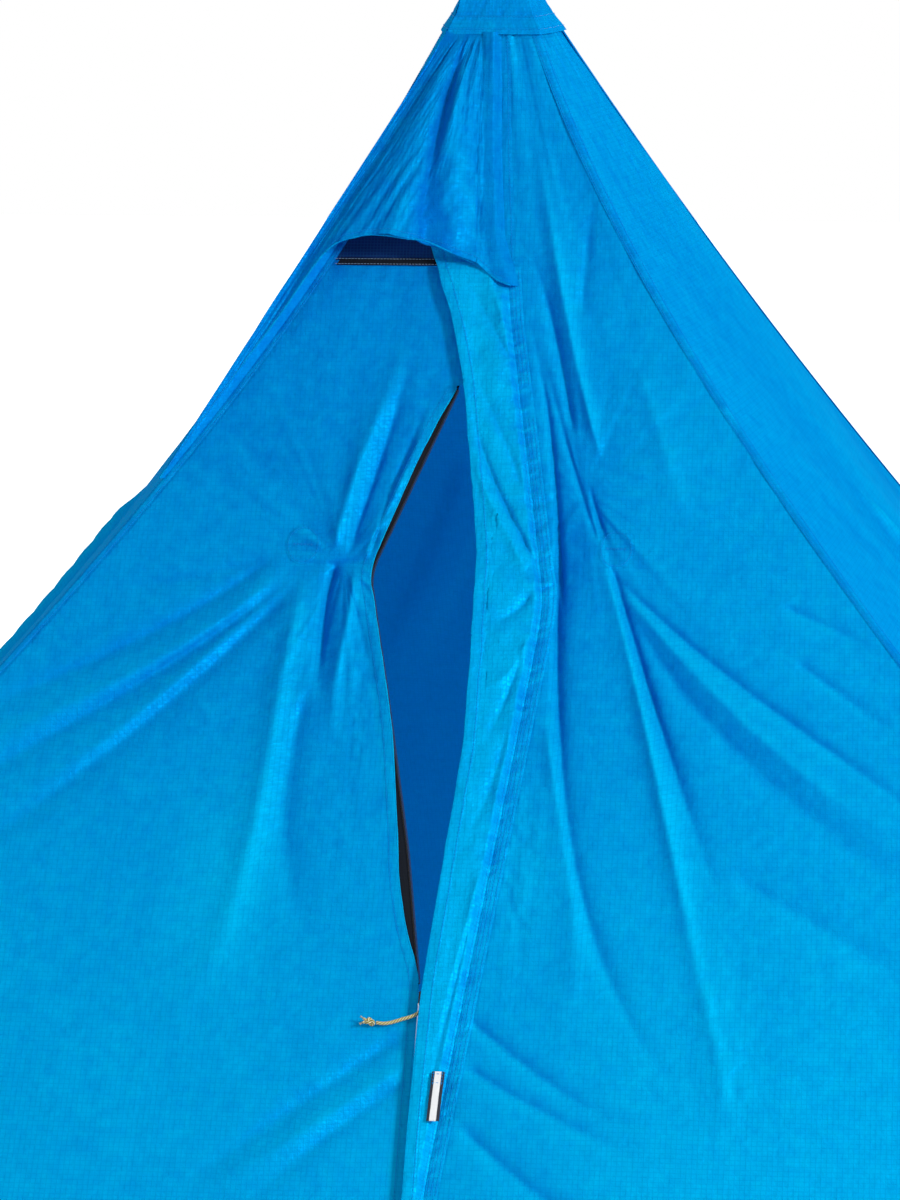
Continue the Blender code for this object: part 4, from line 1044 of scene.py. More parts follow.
# %% Black tape and mesh finishes
def woven_black(name, colour, pitch, width, thread):
    paint = Finish(name)
    threads = paint.grid_lines(pitch, width)
    base = paint.blend(paint.times(paint.noise(90.0), 0.5), colour, shaded(colour, 2.0, 0.002))
    return paint.wear(
        Base_Color=paint.blend(paint.times(threads, 0.8), base, thread),
        Normal=paint.bump(threads, 0.6, 0.0003), Roughness=0.8, Specular_IOR_Level=0.15,
    )


MESH = woven_black("navy_mesh", (0.0002, 0.016, 0.085), 0.0035, 0.0007, (0.002, 0.050, 0.170))
TAPE = woven_black("black_tape", (0.0006, 0.0018, 0.0050), 0.0016, 0.0005, (0.004, 0.007, 0.013))
BINDING_INSET = 0.012

vent_mesh = front_sheet(
    "vent_mesh_cloth", MESH, heights_between(SILL + 0.006, PANEL_TOP, 0.005), ridge_left,
    lambda z: seam_x(z) - 0.004, 40, lift=-0.0006,
)
set_on(vent_mesh, "root", "navy_mesh", "vent_mesh")
vent_binding = front_sheet(
    "vent_binding_tape", TAPE, heights_between(SILL + 0.0003, SILL + 0.0078, 0.0012),
    lambda z: BINDING_INSET - front_half(z), beside_zip(1, 0.004), 60, lift=0.0012,
)
set_on(vent_binding, "root", "black_tape", "vent_binding")


def seam_puckers(along, seed):
    lane = along * 0 + seed
    return 0.0004 * ripple(along * 130, lane) + 0.0002 * ripple(along * 310, lane + 4)


def top_seam_lift(x, z):
    return 0.0008 + seam_puckers(z + 0.2 * x, 3)


top_seam = front_sheet(
    "top_seam_cloth", SEAM, heights_between(1.152, 1.392, 0.0025), lambda z: seam_x(z) - 0.010,
    lambda z: seam_x(z) + 0.010, 12, lift=top_seam_lift, painted_shade_and_mottle=front_painted_shade,
)
set_on(top_seam, "root", "felled_seam", "top_seam")
print("vent pieces made")

# %% [markdown]
# ## Vent hood
# The hood is a shaped piece of cloth sewn under the peak cap, along the left ridge and along the
# top seam. Its lower edge stands 5 cm off the canopy and arches, so rain stays out while air
# goes through. It is laid as a fan of lines from cap to brim, with a smooth curve through nine
# stations across. The middle of its edge can be turned up, so that part is a piece of its own.

# %% Hood surface
UNDER_CAP = 1.387
SEAM_FOOT = 1.154
RIDGE_FOOT = 0.943
HOOK = 0.022
STAND_OFF = 0.0048
BRIM_SHARE = 0.88
BRIM_FROM, BRIM_TO, LAST_STATION = 4.0, 9.0, 11.0
TOP_RIGHT = 0.0083 - 0.018
HOOD_FEET = np.array((
    (-front_half(0.943) - 0.0053, -front_half(0.943) - 0.0053, 0.943),
    (-front_half(1.037) - 0.012, -front_half(1.037) - 0.014, 1.037),
    (-front_half(1.101) - 0.010, -front_half(1.101) - 0.024, 1.101),
    (-front_half(1.167) - 0.006, -front_half(1.167) - 0.040, 1.167),
    (-0.130, -front_half(1.183) - 0.048, 1.183),
    (-0.105, -front_half(1.185) - 0.050, 1.185),
    (-0.080, -front_half(1.182) - 0.050, 1.182),
    (-0.055, -front_half(1.178) - 0.040, 1.177),
    (-0.011, -front_half(1.157) - 0.017, 1.155),
))
top_share = np.linspace(0, 1, 9)
HOOD_TOPS = np.stack([
    -front_half(UNDER_CAP) * (1 - top_share) + TOP_RIGHT * top_share - STAND_OFF * (top_share == 0),
    np.full(9, -front_half(UNDER_CAP) - STAND_OFF),
    np.full(9, UNDER_CAP),
], axis=1)


def hood(station, share):
    """Points on the hood: station runs across from the left ridge, share from cap to edge. Below
    station 0 the cloth turns under and is sewn to the ridge."""
    fall = share[..., None]
    at = np.clip(station - 1, 0, 8)
    middle = curve_through(HOOD_TOPS, at) * (1 - fall) + curve_through(HOOD_FEET, at) * fall
    ridge_z = UNDER_CAP + (RIDGE_FOOT - UNDER_CAP) * share
    out = front_half(ridge_z) + STAND_OFF - 0.0042 * np.clip(-station, 0, 1)
    ridge = np.stack([-out, -out, ridge_z], axis=-1)
    to_ridge = ease(1 - station)[..., None]
    hooked = HOOK * ease((share - 0.8) / 0.2) * ease((station - 8.6) / 1.6)
    seam_z = UNDER_CAP + (SEAM_FOOT - UNDER_CAP) * share - hooked
    from_seam = LAST_STATION - station
    inset = 0.0003 + 0.0125 * np.clip(from_seam, 0, 3)
    seam = seam_x(seam_z) - inset + 0.013 * ease((share - 0.84) / 0.16)
    off_canopy = 0.0016 + 0.0112 * ease(from_seam / 0.6)
    canopy = front(seam, seam_z) - (0, 1, 0) * off_canopy[..., None]
    to_canopy = ease((station - 8.3) / 2.7)[..., None]
    place = middle * (1 - to_ridge) + ridge * to_ridge
    return place * (1 - to_canopy) + canopy * to_canopy


def from_valley(station, share):
    """Stations from the deep fold that runs from the cap's middle to the brim's right half."""
    return station - (5.2 + 2.7 * np.clip(share, 0, 1) ** 0.8)


def hood_drape(station, share):
    """Lift of the hood's own folds: pleats from the cap, a deep fold and the drag of its hem."""
    held = ease(station / 0.7) * ease((10.4 - station) / 1.2) * ease(share / 0.06)
    beside, below = from_valley(station, share), ease(share / 0.3)
    lift = 0.0018 * ripple(station * 1.9 + 4, share * 1.1) * (1 - 0.5 * share)
    lift = lift - 0.0062 * bell(beside, 0.42) * ease(share / 0.2)
    lift = lift + 0.0036 * bell(beside + 1.5, 0.75) * below
    lift = lift + 0.0044 * bell(beside - 1.1, 0.55) * below
    drag = ripple(station * 2.6 + share * 5.5, share * 2.4 + 7) * ease((share - 0.40) / 0.3)
    dimple = bell(station - 9.4, 0.35) * bell(share - 0.80, 0.08)
    lift = lift + 0.0014 * drag - 0.0030 * dimple
    return held * (lift + 0.0005 * ripple(station * 11, share * 22 + 3))


def hood_sheet(name, body, stations, shares, columns, rows, *nodes):
    station, share = np.meshgrid(np.linspace(*stations, columns), np.linspace(*shares, rows))
    lift = hood_drape(station, share)
    points = lifted(hood, station, share, -lift, step=0.02)
    # Painted light and shade of the hood: lifted folds lighter, slopes lighter or darker as light
    # falls on them, and the deep fold and the cloth left of it painted deeper.
    slope = hood_drape(station + 0.05, share) - hood_drape(station - 0.05, share)
    beside = from_valley(station, share)
    painted_shade_and_mottle = 0.24 + 26 * lift + np.clip(-130 * slope, -0.24, 0.24)
    painted_shade_and_mottle = painted_shade_and_mottle - 0.30 * bell(beside + 0.1, 0.5) - 0.16 * ease(-beside / 2) * (1 - 0.6 * share)
    uv = np.stack([points[..., 0], -1.24 * points[..., 2]], axis=-1)
    made = cloth(name, points[:, ::-1], uv[:, ::-1], BLUE, painted_shade_and_mottle[:, ::-1])
    return set_on(made, body, "blue_ripstop", *nodes)


SKIRT = (BRIM_SHARE, 1.0)
hood_crown = hood_sheet(
    "vent_hood_crown", "root", (-1.0, LAST_STATION), (-0.016, BRIM_SHARE), 206, 120, "vent_hood"
)
hood_skirt = hood_sheet("vent_hood_skirt", "root", (-1.0, BRIM_FROM), SKIRT, 80, 22)
hood_tail = hood_sheet("vent_hood_tail", "root", (BRIM_TO, LAST_STATION), SKIRT, 24, 22)
brim = hood_sheet("hood_brim_cloth", None, (BRIM_FROM, BRIM_TO), SKIRT, 84, 22, "hood_brim")
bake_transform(brim)
print("hood faces:", len(hood_crown.data.polygons))

# %% Turned hem of the hood
HEM_ROLLS = (
    ("skirt", (0.4, BRIM_FROM), "root", 90), ("tail", (BRIM_TO, 10.6), "root", 40),
    ("brim", (BRIM_FROM, BRIM_TO), "hood_brim", 110),
)
for word, stations, body, columns in HEM_ROLLS:
    station = np.linspace(*stations, columns)
    edge = hood(station, np.ones(columns)) + (0, 0.0006, 0.0004)
    radius = 0.0011 + 0.0002 * ripple(station * 9, station * 0)
    roll = tube(f"hood_hem_{word}", edge, radius, 8, SEAM)
    set_on(roll, body, "felled_seam")
print("hem rolls made")

# %% [markdown]
# ## Side and back panels
# Each of the other walls is one triangle of cloth that bellies out by about a centimetre. They
# are plain, so long soft creases from the stakes and from the peak carry the look, with three
# deeper folds that also show through the open zip.

# %% Walls of the canopy
CORNERS = {
    "front_left": (-1, -1, front_half), "front_right": (1, -1, front_half),
    "back_right": (1, 1, back_half), "back_left": (-1, 1, back_half),
}
WALLS = {
    "front": ("front_left", "front_right"), "right": ("front_right", "back_right"),
    "back": ("back_right", "back_left"), "left": ("back_left", "front_left"),
}
BELLY = 0.012
WALL_COLUMNS, WALL_ROWS = 150, 190
WALL_FOLDS = (
    (((30, 900), (100, 720), (220, 500)), 16, 11),
    (((90, 880), (170, 700), (300, 480)), 14, -10),
    (((-30, 800), (50, 600), (130, 420)), 18, 6.5),
)


def corner(end, z):
    side, way, half = CORNERS[end]
    return np.stack([side * half(z), way * half(z), z + 0 * z], axis=-1)


def wall_at(name, share, z):
    """Points on a wall at a share of the way from its left ridge, seen from outside."""
    left, right = (corner(end, z) for end in WALLS[name])
    run = right - left
    outward = unit(np.stack([run[..., 1], -run[..., 0], 0 * z], axis=-1))
    depth = 0 if name == "front" else BELLY
    belly = depth * np.sin(np.pi * np.minimum(z / CAP_FOOT, 1)) * 4 * share * (1 - share)
    return left + run * share[..., None] + outward * belly[..., None]


def wall_creases(share, z, seed):
    x = (2 * share - 1) * (HALF_BASE * (1 - z / HEIGHT) + 0.03)
    calm = ease(share / 0.05) * ease((1 - share) / 0.05)
    creases = 0.0022 * fan(x, z, (0.0, 1.52), 15, 0.5, seed) * ease((z - 0.7) / 0.4)
    for side, more in ((-1, 9), (1, 21)):
        creases = creases + 0.0045 * fan(x, z, (side * HALF_BASE, 0.0), 5, 0.45, seed + more)
    creases = creases + 0.0022 * ripple(x * 5 + seed, z * 3)
    creases = creases + 0.0005 * ripple(x * 19, z * 17 + seed)
    slack = ripple(x * 13 + z * 9 + seed, z * 4 - x * 3)
    creases = creases + 0.0024 * slack * ease((1.2 - z) / 0.3)
    return calm * (creases + folded(x, z, WALL_FOLDS))


def wall_sheet(name, wall, node, seed):
    share, z = np.meshgrid(np.linspace(0, 1, WALL_COLUMNS), np.linspace(HEM, PANEL_TOP, WALL_ROWS))
    lift = wall_creases(share, z, seed)
    points = lifted(lambda u, v: wall_at(wall, u, v), share, z, lift)
    points[..., 2] = np.maximum(points[..., 2], 0.5 * HEM)
    width = np.linalg.norm(points[:, -1] - points[:, 0], axis=1)[:, None]
    uv = np.stack([(share - 0.5) * width, slant(z)], axis=-1)
    # Painted light and shade: low cloth lighter, as if lit from the ground, crests lighter and
    # hollows deeper.
    painted_shade_and_mottle = 0.46 + 0.16 * ease((0.7 - z) / 0.5) + 38 * lift
    return set_on(cloth(name, points, uv, BLUE, painted_shade_and_mottle), "root", "blue_ripstop", node)


right_wall = wall_sheet("right_side_cloth", "right", "right_side_panel", 61)
back_wall = wall_sheet("back_cloth", "back", "back_panel", 83)
left_wall = wall_sheet("left_side_cloth", "left", "left_side_panel", 107)
for piece in (right_wall, back_wall, left_wall):
    print(piece.name, "cloth area", round(area(piece), 3))

# %% [markdown]
# ## Ridge seams and corner patches
# Panels are joined with felled seams: both edges are folded into each other and sewn down in two
# rows, so each ridge is a flat, slightly puckered band 15 mm wide. At the stakes, where the load
# comes in, a wider patch of doubled cloth lies over the ridge.

# %% Strips over the ridges
RIDGE_STEP = 0.0022


def over_ridge(end):
    """A surface that wraps one ridge: u is metres across it, from the wall before to the next."""
    before = next(name for name, ends in WALLS.items() if ends[1] == end)
    after = next(name for name, ends in WALLS.items() if ends[0] == end)

    def place(u, z):
        def share(name, away):
            left, right = (corner(word, z) for word in WALLS[name])
            return np.clip(away, 0, None) / np.linalg.norm(right - left, axis=-1)

        first = wall_at(before, 1 - share(before, -u), z)
        second = wall_at(after, share(after, u), z)
        return np.where((u < 0)[..., None], first, second)

    return place


def on_ridge(end, u, z, lift):
    return lifted(over_ridge(end), u, z, lift, step=RIDGE_STEP)


def ridge_sheet(name, end, low, high, flange, lift, columns, step):
    u, z = np.meshgrid(np.linspace(-flange, flange, columns), heights_between(low, high, step))
    bulk = lift + seam_puckers(z, 11 + len(end)) * bell(np.abs(u) - flange * 0.55, flange * 0.4)
    # Painted light: low cloth lighter, as if lit from the ground, over a random mottle.
    painted_shade_and_mottle = 0.40 + 0.14 * ripple(z * 90, u * 60) + 0.18 * ease((0.6 - z) / 0.4)
    uv = np.stack([u, slant(z)], axis=-1)
    return cloth(name, on_ridge(end, u, z, bulk), uv, SEAM, painted_shade_and_mottle)


ridge_seams, corner_patches = {}, {}
for end in CORNERS:
    seam = ridge_sheet(f"ridge_cloth_{end}", end, 0.1053, UNDER_CAP, 0.0075, 0.0010, 13, 0.0030)
    ridge_seams[end] = set_on(seam, "root", "felled_seam", f"ridge_seam_{end}")
    patch = ridge_sheet(f"corner_cloth_{end}", end, 0.0020, 0.1050, 0.038, 0.0013, 41, 0.0022)
    corner_patches[end] = set_on(patch, "root", "felled_seam", f"corner_patch_{end}")
print("ridge strips:", len(ridge_seams), "corner patches:", len(corner_patches))

# %% [markdown]
# ## Peak cap
# The point of the canopy takes the whole load of the pole, so it is covered with a cap of doubled
# cloth. Its lower edge is a band with two rows of stitches, and the crown is gathered to a small
# flat top over the pole's cup.

# %% Peak cap cloth
CAP_COLUMNS, CAP_ROWS = 161, 46


def cap_surface(turn, z):
    """Round the canopy once per 4 units of turn, at height z."""
    side = np.mod(np.floor(turn).astype(int), 4)
    share = (turn - np.floor(turn))[..., None]
    corners = np.stack([corner(end, z) for end in CORNERS], axis=0)
    here, after = (
        np.take_along_axis(corners, at[None, ..., None], axis=0)[0] for at in (side, (side + 1) % 4)
    )
    return here * (1 - share) + after * share


def cap_share(z):
    return (z - CAP_FOOT) / (HEIGHT - CAP_FOOT)


def cap_flare(z):
    return 0.0022 * ease((0.25 - cap_share(z)) / 0.25)


def outward_from(ring):
    """Level directions from the middle of each ring of points."""
    return unit((ring - ring.mean(axis=-2, keepdims=True)) * (1, 1, 0))


def build_cap():
    heights = np.linspace(CAP_FOOT - 0.002, HEIGHT - 0.004, CAP_ROWS)
    turn, z = np.meshgrid(np.linspace(0, 4, CAP_COLUMNS), heights)
    flat, up = cap_surface(turn, z), cap_share(z)
    band = 0.0006 * ease((0.30 - up) / 0.02)
    pleat = 0.0011 * ripple(turn * 6.5, up * 1.2) * (0.4 + 0.6 * up)
    pleat = pleat + 0.0005 * ripple(turn * 26, up * 9) - 0.0006 * bell(up - 0.30, 0.03)
    points = flat + outward_from(flat) * (0.0032 + band + pleat + cap_flare(z))[..., None]
    shrink = np.array((0.93, 0.80, 0.55, 0.28, 0.0))[:, None, None]
    top = points[-1:] * (1, 1, 0) * shrink + (0, 0, 1) * (HEIGHT - 0.0006 * shrink**2 - 0.0004)
    grid = np.vstack([points, top])
    # Painted light and shade of the cap: pleat crests lighter, their hollows deeper, and the band
    # at its foot lighter.
    painted_shade_and_mottle = np.full(grid.shape[:2], 0.36)
    painted_shade_and_mottle[:CAP_ROWS] += 90 * (pleat - 0.0003) + 0.10 * (up < 0.3)
    uv = np.stack(np.meshgrid(turn[0] * 0.11, length_along(grid[:, 0])), axis=-1)
    return tidy_mesh(cloth("peak_cap_cloth", grid, uv, SEAM, painted_shade_and_mottle))


peak_cap = set_on(build_cap(), "root", "felled_seam", "peak_cap")
print("cap faces:", len(peak_cap.data.polygons))

# %% [markdown]
# ## Zip
# The zip is a moulded coil on two woven tapes. Its teeth repeat at 1.3 mm along a path, which is
# work for Geometry Nodes: a line is turned into points at a fixed spacing, a small tooth is set
# on each, and the result is made one mesh. The same tree, fed with other sizes, sews every seam
# of the shelter, since a row of stitches is also one small shape repeated along a line.

# %% One tree for teeth and stitches
def row_tree(name, turned):
    """Repeats a small rod along a line, across it as a tooth where turned, else along it."""
    tree = bpy.data.node_groups.new(name, "GeometryNodeTree")
    for label, kind in (
        ("Geometry", "Geometry"), ("Spacing", "Float"), ("Rod Length", "Float"),
        ("Rod Radius", "Float"), ("Finish", "Material"),
    ):
        tree.interface.new_socket(label, in_out="INPUT", socket_type="NodeSocket" + kind)
    tree.interface.new_socket("Geometry", in_out="OUTPUT", socket_type="NodeSocketGeometry")

    def add(kind, output, settings=(), **inputs):
        return add_node(tree, kind, settings, **inputs).outputs[output]

    given = add_node(tree, "NodeGroupInput").outputs
    curve = add("GeometryNodeMeshToCurve", "Curve", Mesh=given["Geometry"])
    points = add_node(
        tree, "GeometryNodeCurveToPoints", {"mode": "LENGTH"}, Curve=curve, Length=given["Spacing"]
    ).outputs
    rod = add(
        "GeometryNodeMeshCylinder", "Mesh",
        Vertices=6, Depth=given["Rod Length"], Radius=given["Rod Radius"],
    )
    turn = (0, np.pi / 2, 0) if turned else (0, 0, 0)
    lay = add(
        "FunctionNodeRotateRotation", "Rotation", {"rotation_space": "LOCAL"},
        Rotation=points["Rotation"], Rotate_By=turn,
    )
    rods = add(
        "GeometryNodeInstanceOnPoints", "Instances",
        Points=points["Points"], Instance=rod, Rotation=lay,
    )
    solid = add("GeometryNodeRealizeInstances", "Geometry", Geometry=rods)
    painted = add("GeometryNodeSetMaterial", "Geometry", Geometry=solid, Material=given["Finish"])
    add_node(tree, "NodeGroupOutput", Geometry=painted)
    return tree


STITCH_TREE = row_tree("stitch_row", turned=False)
TOOTH_TREE = row_tree("tooth_row", turned=True)


def repeat_along(name, lines, tree, spacing, rod_length, rod_radius, material):
    """Run a row tree over one or more lines and keep the result as a plain mesh."""
    points, edges = [], []
    for line in lines:
        start = len(points)
        points.extend(line.tolist())
        edges.extend((n, n + 1) for n in range(start, len(points) - 1))
    path = bpy.data.meshes.new(name + "_path")
    path.from_pydata(points, edges, [])
    carrier = stand(name + "_path", path)
    row = carrier.modifiers.new("row", "NODES")
    row.node_group = tree
    sizes = {
        "Spacing": spacing, "Rod Length": rod_length, "Rod Radius": rod_radius, "Finish": material
    }
    for item in tree.interface.items_tree:
        if item.in_out == "INPUT" and item.name in sizes:
            row[item.identifier] = sizes[item.name]
    bpy.context.view_layer.update()
    evaluated = carrier.evaluated_get(bpy.context.evaluated_depsgraph_get())
    mesh = bpy.data.meshes.new_from_object(evaluated)
    mesh.name = name
    carrier.modifiers.remove(row)
    bpy.data.objects.remove(carrier)
    return stand(name, mesh)


# %% Zip tapes and coil
def glossy(name, colour, roughness, grain, depth, metallic=0.0, level=0.4):
    paint = Finish(name)
    grains = paint.noise(grain, 4.0, 0.6)
    return paint.wear(
        Base_Color=paint.blend(grains, shaded(colour, 0.75), shaded(colour, 1.2)),
        Roughness=paint.between(grains, roughness * 0.8, roughness * 1.25),
        Normal=paint.bump(grains, 0.5, depth), Metallic=metallic, Specular_IOR_Level=level,
    )


COIL = glossy("zip_coil", (0.012, 0.012, 0.014), 0.35, 900, 0.00005)
THREAD = glossy("sewing_thread", (0.0, 0.23, 0.66), 0.6, 1500, 0.00003, level=0.15)
PALE_THREAD = glossy("binding_thread", (0.20, 0.30, 0.42), 0.6, 1500, 0.00003, level=0.15)
TAPE_WIDTH = 0.016
TOOTH_PITCH = 0.0013
ZIP_SIDES = (("left", -1, tape_left), ("right", 1, tape_right))


def teeth_along(name, line, length, radius, body, *nodes):
    teeth = repeat_along(name, [line], TOOTH_TREE, TOOTH_PITCH, length, radius, COIL)
    return set_on(teeth, body, "black_tape", *nodes)


tape_pieces = {}
for word, side, inner in ZIP_SIDES:
    edges = (inner, lambda z: inner(z) + side * TAPE_WIDTH)[::side]
    rows = heights_between(HEM + 0.001, ZIP_TOP - 0.001, 0.004)
    strip = front_sheet(f"zip_tape_cloth_{word}", TAPE, rows, *edges, 9, lift=-0.0014)
    tape_pieces[word] = set_on(strip, f"{word}_door", "black_tape", f"zip_tape_{word}")

teeth = []
for word, side, inner in ZIP_SIDES:
    line = front_line(lambda z: inner(z) - side * 0.0002, OPEN_FROM, OPEN_TO, -0.0008)
    teeth.append(teeth_along(f"zip_teeth_{word}", line, 0.0030, 0.00045, f"{word}_door"))
for word, chain, low, high, body in (
    ("low", "lower", 0.004, 0.497, "right_door"), ("high", "upper", 1.044, 1.148, "root"),
):
    line = front_line(beside_zip(0), low, high, -0.0005)
    name = f"zip_teeth_closed_{word}"
    teeth.append(teeth_along(name, line, 0.0060, 0.0009, body, f"zip_chain_{chain}"))
print("teeth faces:", sum(len(row.data.polygons) for row in teeth))

# %% [markdown]
# ## Stitches
# Seams on thin coated cloth are sewn with a fine thread of the same blue, about three stitches to
# the centimetre. Each row below is a line on the piece that it holds, so it rides on that piece's
# body. Rows that would cross a fold line are cut there.

# %% Rows of stitches
STITCH = 0.0034
STITCH_LENGTH = 0.0024
THREAD_RADIUS = 0.00024
THREAD_LIFT = 0.0003


def stitch(name, lines, body, material=THREAD):
    rows = repeat_along(name, lines, STITCH_TREE, STITCH, STITCH_LENGTH, THREAD_RADIUS, material)
    return set_on(rows, body, "felled_seam")


def sewn_line(law, out, low, high, lift):
    """A row of stitches at out metres beside a law of x, on a piece that has a law of lift."""
    def on_top(x, z):
        return lift(x, z) + THREAD_LIFT

    return front_line(lambda z: law(z) + out, low, high, on_top, 0.003)


FLAP_ROWS = (
    ("top", 1.038, 1.190, None, ()), ("upper", 0.802, 1.034, None, (-0.003,)),
    ("lower", 0.347, 0.798, "storm_flap", (-0.0025,)),
    ("tail", 0.004, 0.343, None, (-0.003, 0.009)),
)
for word, low, high, body, seams in FLAP_ROWS:
    lines = [sewn_line(flap_edge, HEM_WIDTH - 0.001, low, high, flap_lift)]
    lines += [sewn_line(flap_seam, out, low, high, flap_lift) for out in seams]
    rows = stitch(f"flap_stitches_{word}", lines, body)
    if body is None:
        twist(rows, word)
for word, low, high, body in (("door", 0.347, 1.002, "right_door"), ("head", 1.036, 1.144, "root")):
    lines = [sewn_line(flap_seam, out, low, high, flap_lift) for out in (0.0028, 0.0062, 0.0105)]
    stitch(f"flap_band_stitches_{word}", lines, body)

top_lines = [sewn_line(seam_x, out, 1.158, 1.386, top_seam_lift) for out in (-0.0065, 0.0065)]
stitch("top_seam_stitches", top_lines, "root")
door_line = sewn_line(door_edge_left, -FACING, 0.004, OPEN_TO, lambda x, z: 0.0 * x)
stitch("left_door_stitches", [door_line], "left_door")
x = np.linspace(ridge_left(SILL) + BINDING_INSET, ZIP_X, 60)
binding_lines = [lifted(front, x, SILL + up + 0 * x, 0.0016) for up in (0.0016, 0.0066)]
stitch("binding_stitches", binding_lines, "root", PALE_THREAD)

for end in CORNERS:
    z = heights_between(0.108, 1.384, 0.004)
    lines = [on_ridge(end, u + 0 * z, z, 0.0014) for u in (-0.0052, 0.0052)]
    stitch(f"ridge_stitches_{end}", lines, "root")
    z = heights_between(0.006, 0.101, 0.003)
    across = np.linspace(-0.034, 0.034, 40)
    lines = [on_ridge(end, u + 0 * z, z, 0.0017) for u in (-0.0345, 0.0345)]
    lines.append(on_ridge(end, across, 0.1015 + 0 * across, 0.0017))
    stitch(f"patch_stitches_{end}", lines, "root")

turn = np.linspace(0, 4, CAP_COLUMNS)
cap_rows = []
for z in (1.3935, 1.4065):
    ring = cap_surface(turn, z + 0 * turn)
    cap_rows.append(ring + outward_from(ring) * (0.0044 + cap_flare(z)))
stitch("cap_stitches", cap_rows, "root")


def hood_row(*stations):
    station = np.linspace(*stations, 90)
    share = 0.975 + 0 * station
    return lifted(hood, station, share, -hood_drape(station, share) - 0.0004, step=0.02)


stitch("hood_stitches", [hood_row(0.4, 3.96), hood_row(9.04, 10.4)], "root")
stitch("brim_stitches", [hood_row(4.04, 8.96)], "hood_brim")
print("stitch rows sewn")

# %% [markdown]
# ## Tie patches and reflective tab
# A round patch on each door carries a tie on the inside; from outside it shows as a faint disc
# with a short bar tack across it. The pull tab on the flap is black webbing with a reflective
# stripe woven down its middle.

# %% Patches
PATCH_RADIUS = 0.018
SEWN_RADIUS = 0.0155
BAR_HALF = 0.009


def tie_patch(word, side):
    middle = ZIP_X + side * TIE_OUT
    turn, r = np.meshgrid(np.linspace(0, 2 * np.pi, 49), np.linspace(0, PATCH_RADIUS, 10))
    x, z = middle + r * np.cos(turn), TIE_Z + r * np.sin(turn)
    points = lifted(front, x, z, 0.0005 * ease((PATCH_RADIUS - r) / 0.0012 + 0.1) + 0.0003)
    # The patch takes the front's painted light and shade, a little deeper.
    uv, painted_shade_and_mottle = np.stack([x, z], axis=-1), front_painted_shade(x, z) - 0.05
    patch = tidy_mesh(cloth(f"tie_patch_cloth_{word}", points, uv, BLUE, painted_shade_and_mottle))
    set_on(patch, f"{word}_door", "felled_seam", f"tie_patch_{word}")
    x = np.linspace(middle - BAR_HALF, middle + BAR_HALF, 24)
    lines = [lifted(front, x, TIE_Z + drop + 0 * x, 0.0011) for drop in (-0.0007, 0, 0.0007)]
    turn = np.linspace(0, 2 * np.pi, 60)
    x, z = middle + SEWN_RADIUS * np.cos(turn), TIE_Z + SEWN_RADIUS * np.sin(turn)
    stitch(f"tie_stitches_{word}", [*lines, lifted(front, x, z, 0.0010)], f"{word}_door")
    return patch


patches = [tie_patch("left", -1), tie_patch("right", 1)]

# %% Reflective tab
def tab_finish():
    paint = Finish("reflective_tab")
    parts = paint.cloth_uv()
    middle = paint.maths("ABSOLUTE", parts[0])
    stripe = paint.add("MapRange", Value=middle, From_Min=0.0034, From_Max=0.0030)
    rows = paint.maths("PINGPONG", paint.times(parts[1], 1 / 0.0011), 0.5)
    pale = paint.blend(rows, (0.70, 0.72, 0.74), (0.86, 0.88, 0.90))
    return paint.wear(
        Base_Color=paint.blend(stripe, (0.006, 0.010, 0.022), pale),
        Roughness=paint.between(stripe, 0.85, 0.35), Normal=paint.bump(rows, 0.6, 0.0003),
    )


REFLECTIVE = tab_finish()
TAB_TOP, TAB_FOOT = 0.438, 0.399
TAB_HALF = 0.0060


def tab_x(z):
    return 0.0135 + 0.05 * (z - TAB_FOOT)


def build_tab():
    """Webbing folded double at its foot: down the back of the tab, round and up its front."""
    u, way = np.meshgrid(np.linspace(-TAB_HALF, TAB_HALF, 13), np.linspace(-1, 1, 61))
    z = TAB_FOOT + (TAB_TOP - TAB_FOOT) * np.abs(way)
    lift = 0.0124 + 0.0012 * ease((1 - np.abs(way)) / 0.6) + 0.0002 * ripple(z * 300, u * 200)
    lift = lift - 0.0004 * ease((np.abs(u) - 0.0050) / 0.0010) - 0.0010 * ease(-way / 0.03)
    points = lifted(front, tab_x(z) + u, z, lift)
    return cloth("reflective_tab_webbing", points, np.stack([u, slant(z)], axis=-1), REFLECTIVE)


tab = build_tab()
set_on(tab, "storm_flap", "reflective_tape", "reflective_tab")
z = heights_between(0.4285, 0.4365, 0.002)
x = np.linspace(0.0112, 0.0192, 8)
tab_rows = [lifted(front, tab_x(z) + out, z, 0.0128) for out in (-0.0042, 0.0042)]
tab_rows += [lifted(front, x, height + 0 * x, 0.0128) for height in (0.4290, 0.4360)]
stitch("tab_stitches", tab_rows, "storm_flap")
print("patches and tab made")

# %% [markdown]
# ## Hardware
# Sliders, buckles, pole and cup keep their solids, whose shapes are right, and get finishes with
# a fine grain. The webbing at the corners and hems is kept too, but woven.

# %% Finishes for the solids
SLIDER_METAL = glossy("slider_enamel", (0.012, 0.012, 0.013), 0.32, 700, 0.00004, metallic=0.4)
PLASTIC = glossy("moulded_plastic", (0.018, 0.018, 0.019), 0.42, 420, 0.00008)
RUBBER = glossy("foot_rubber", (0.020, 0.020, 0.020), 0.85, 260, 0.0002, level=0.25)


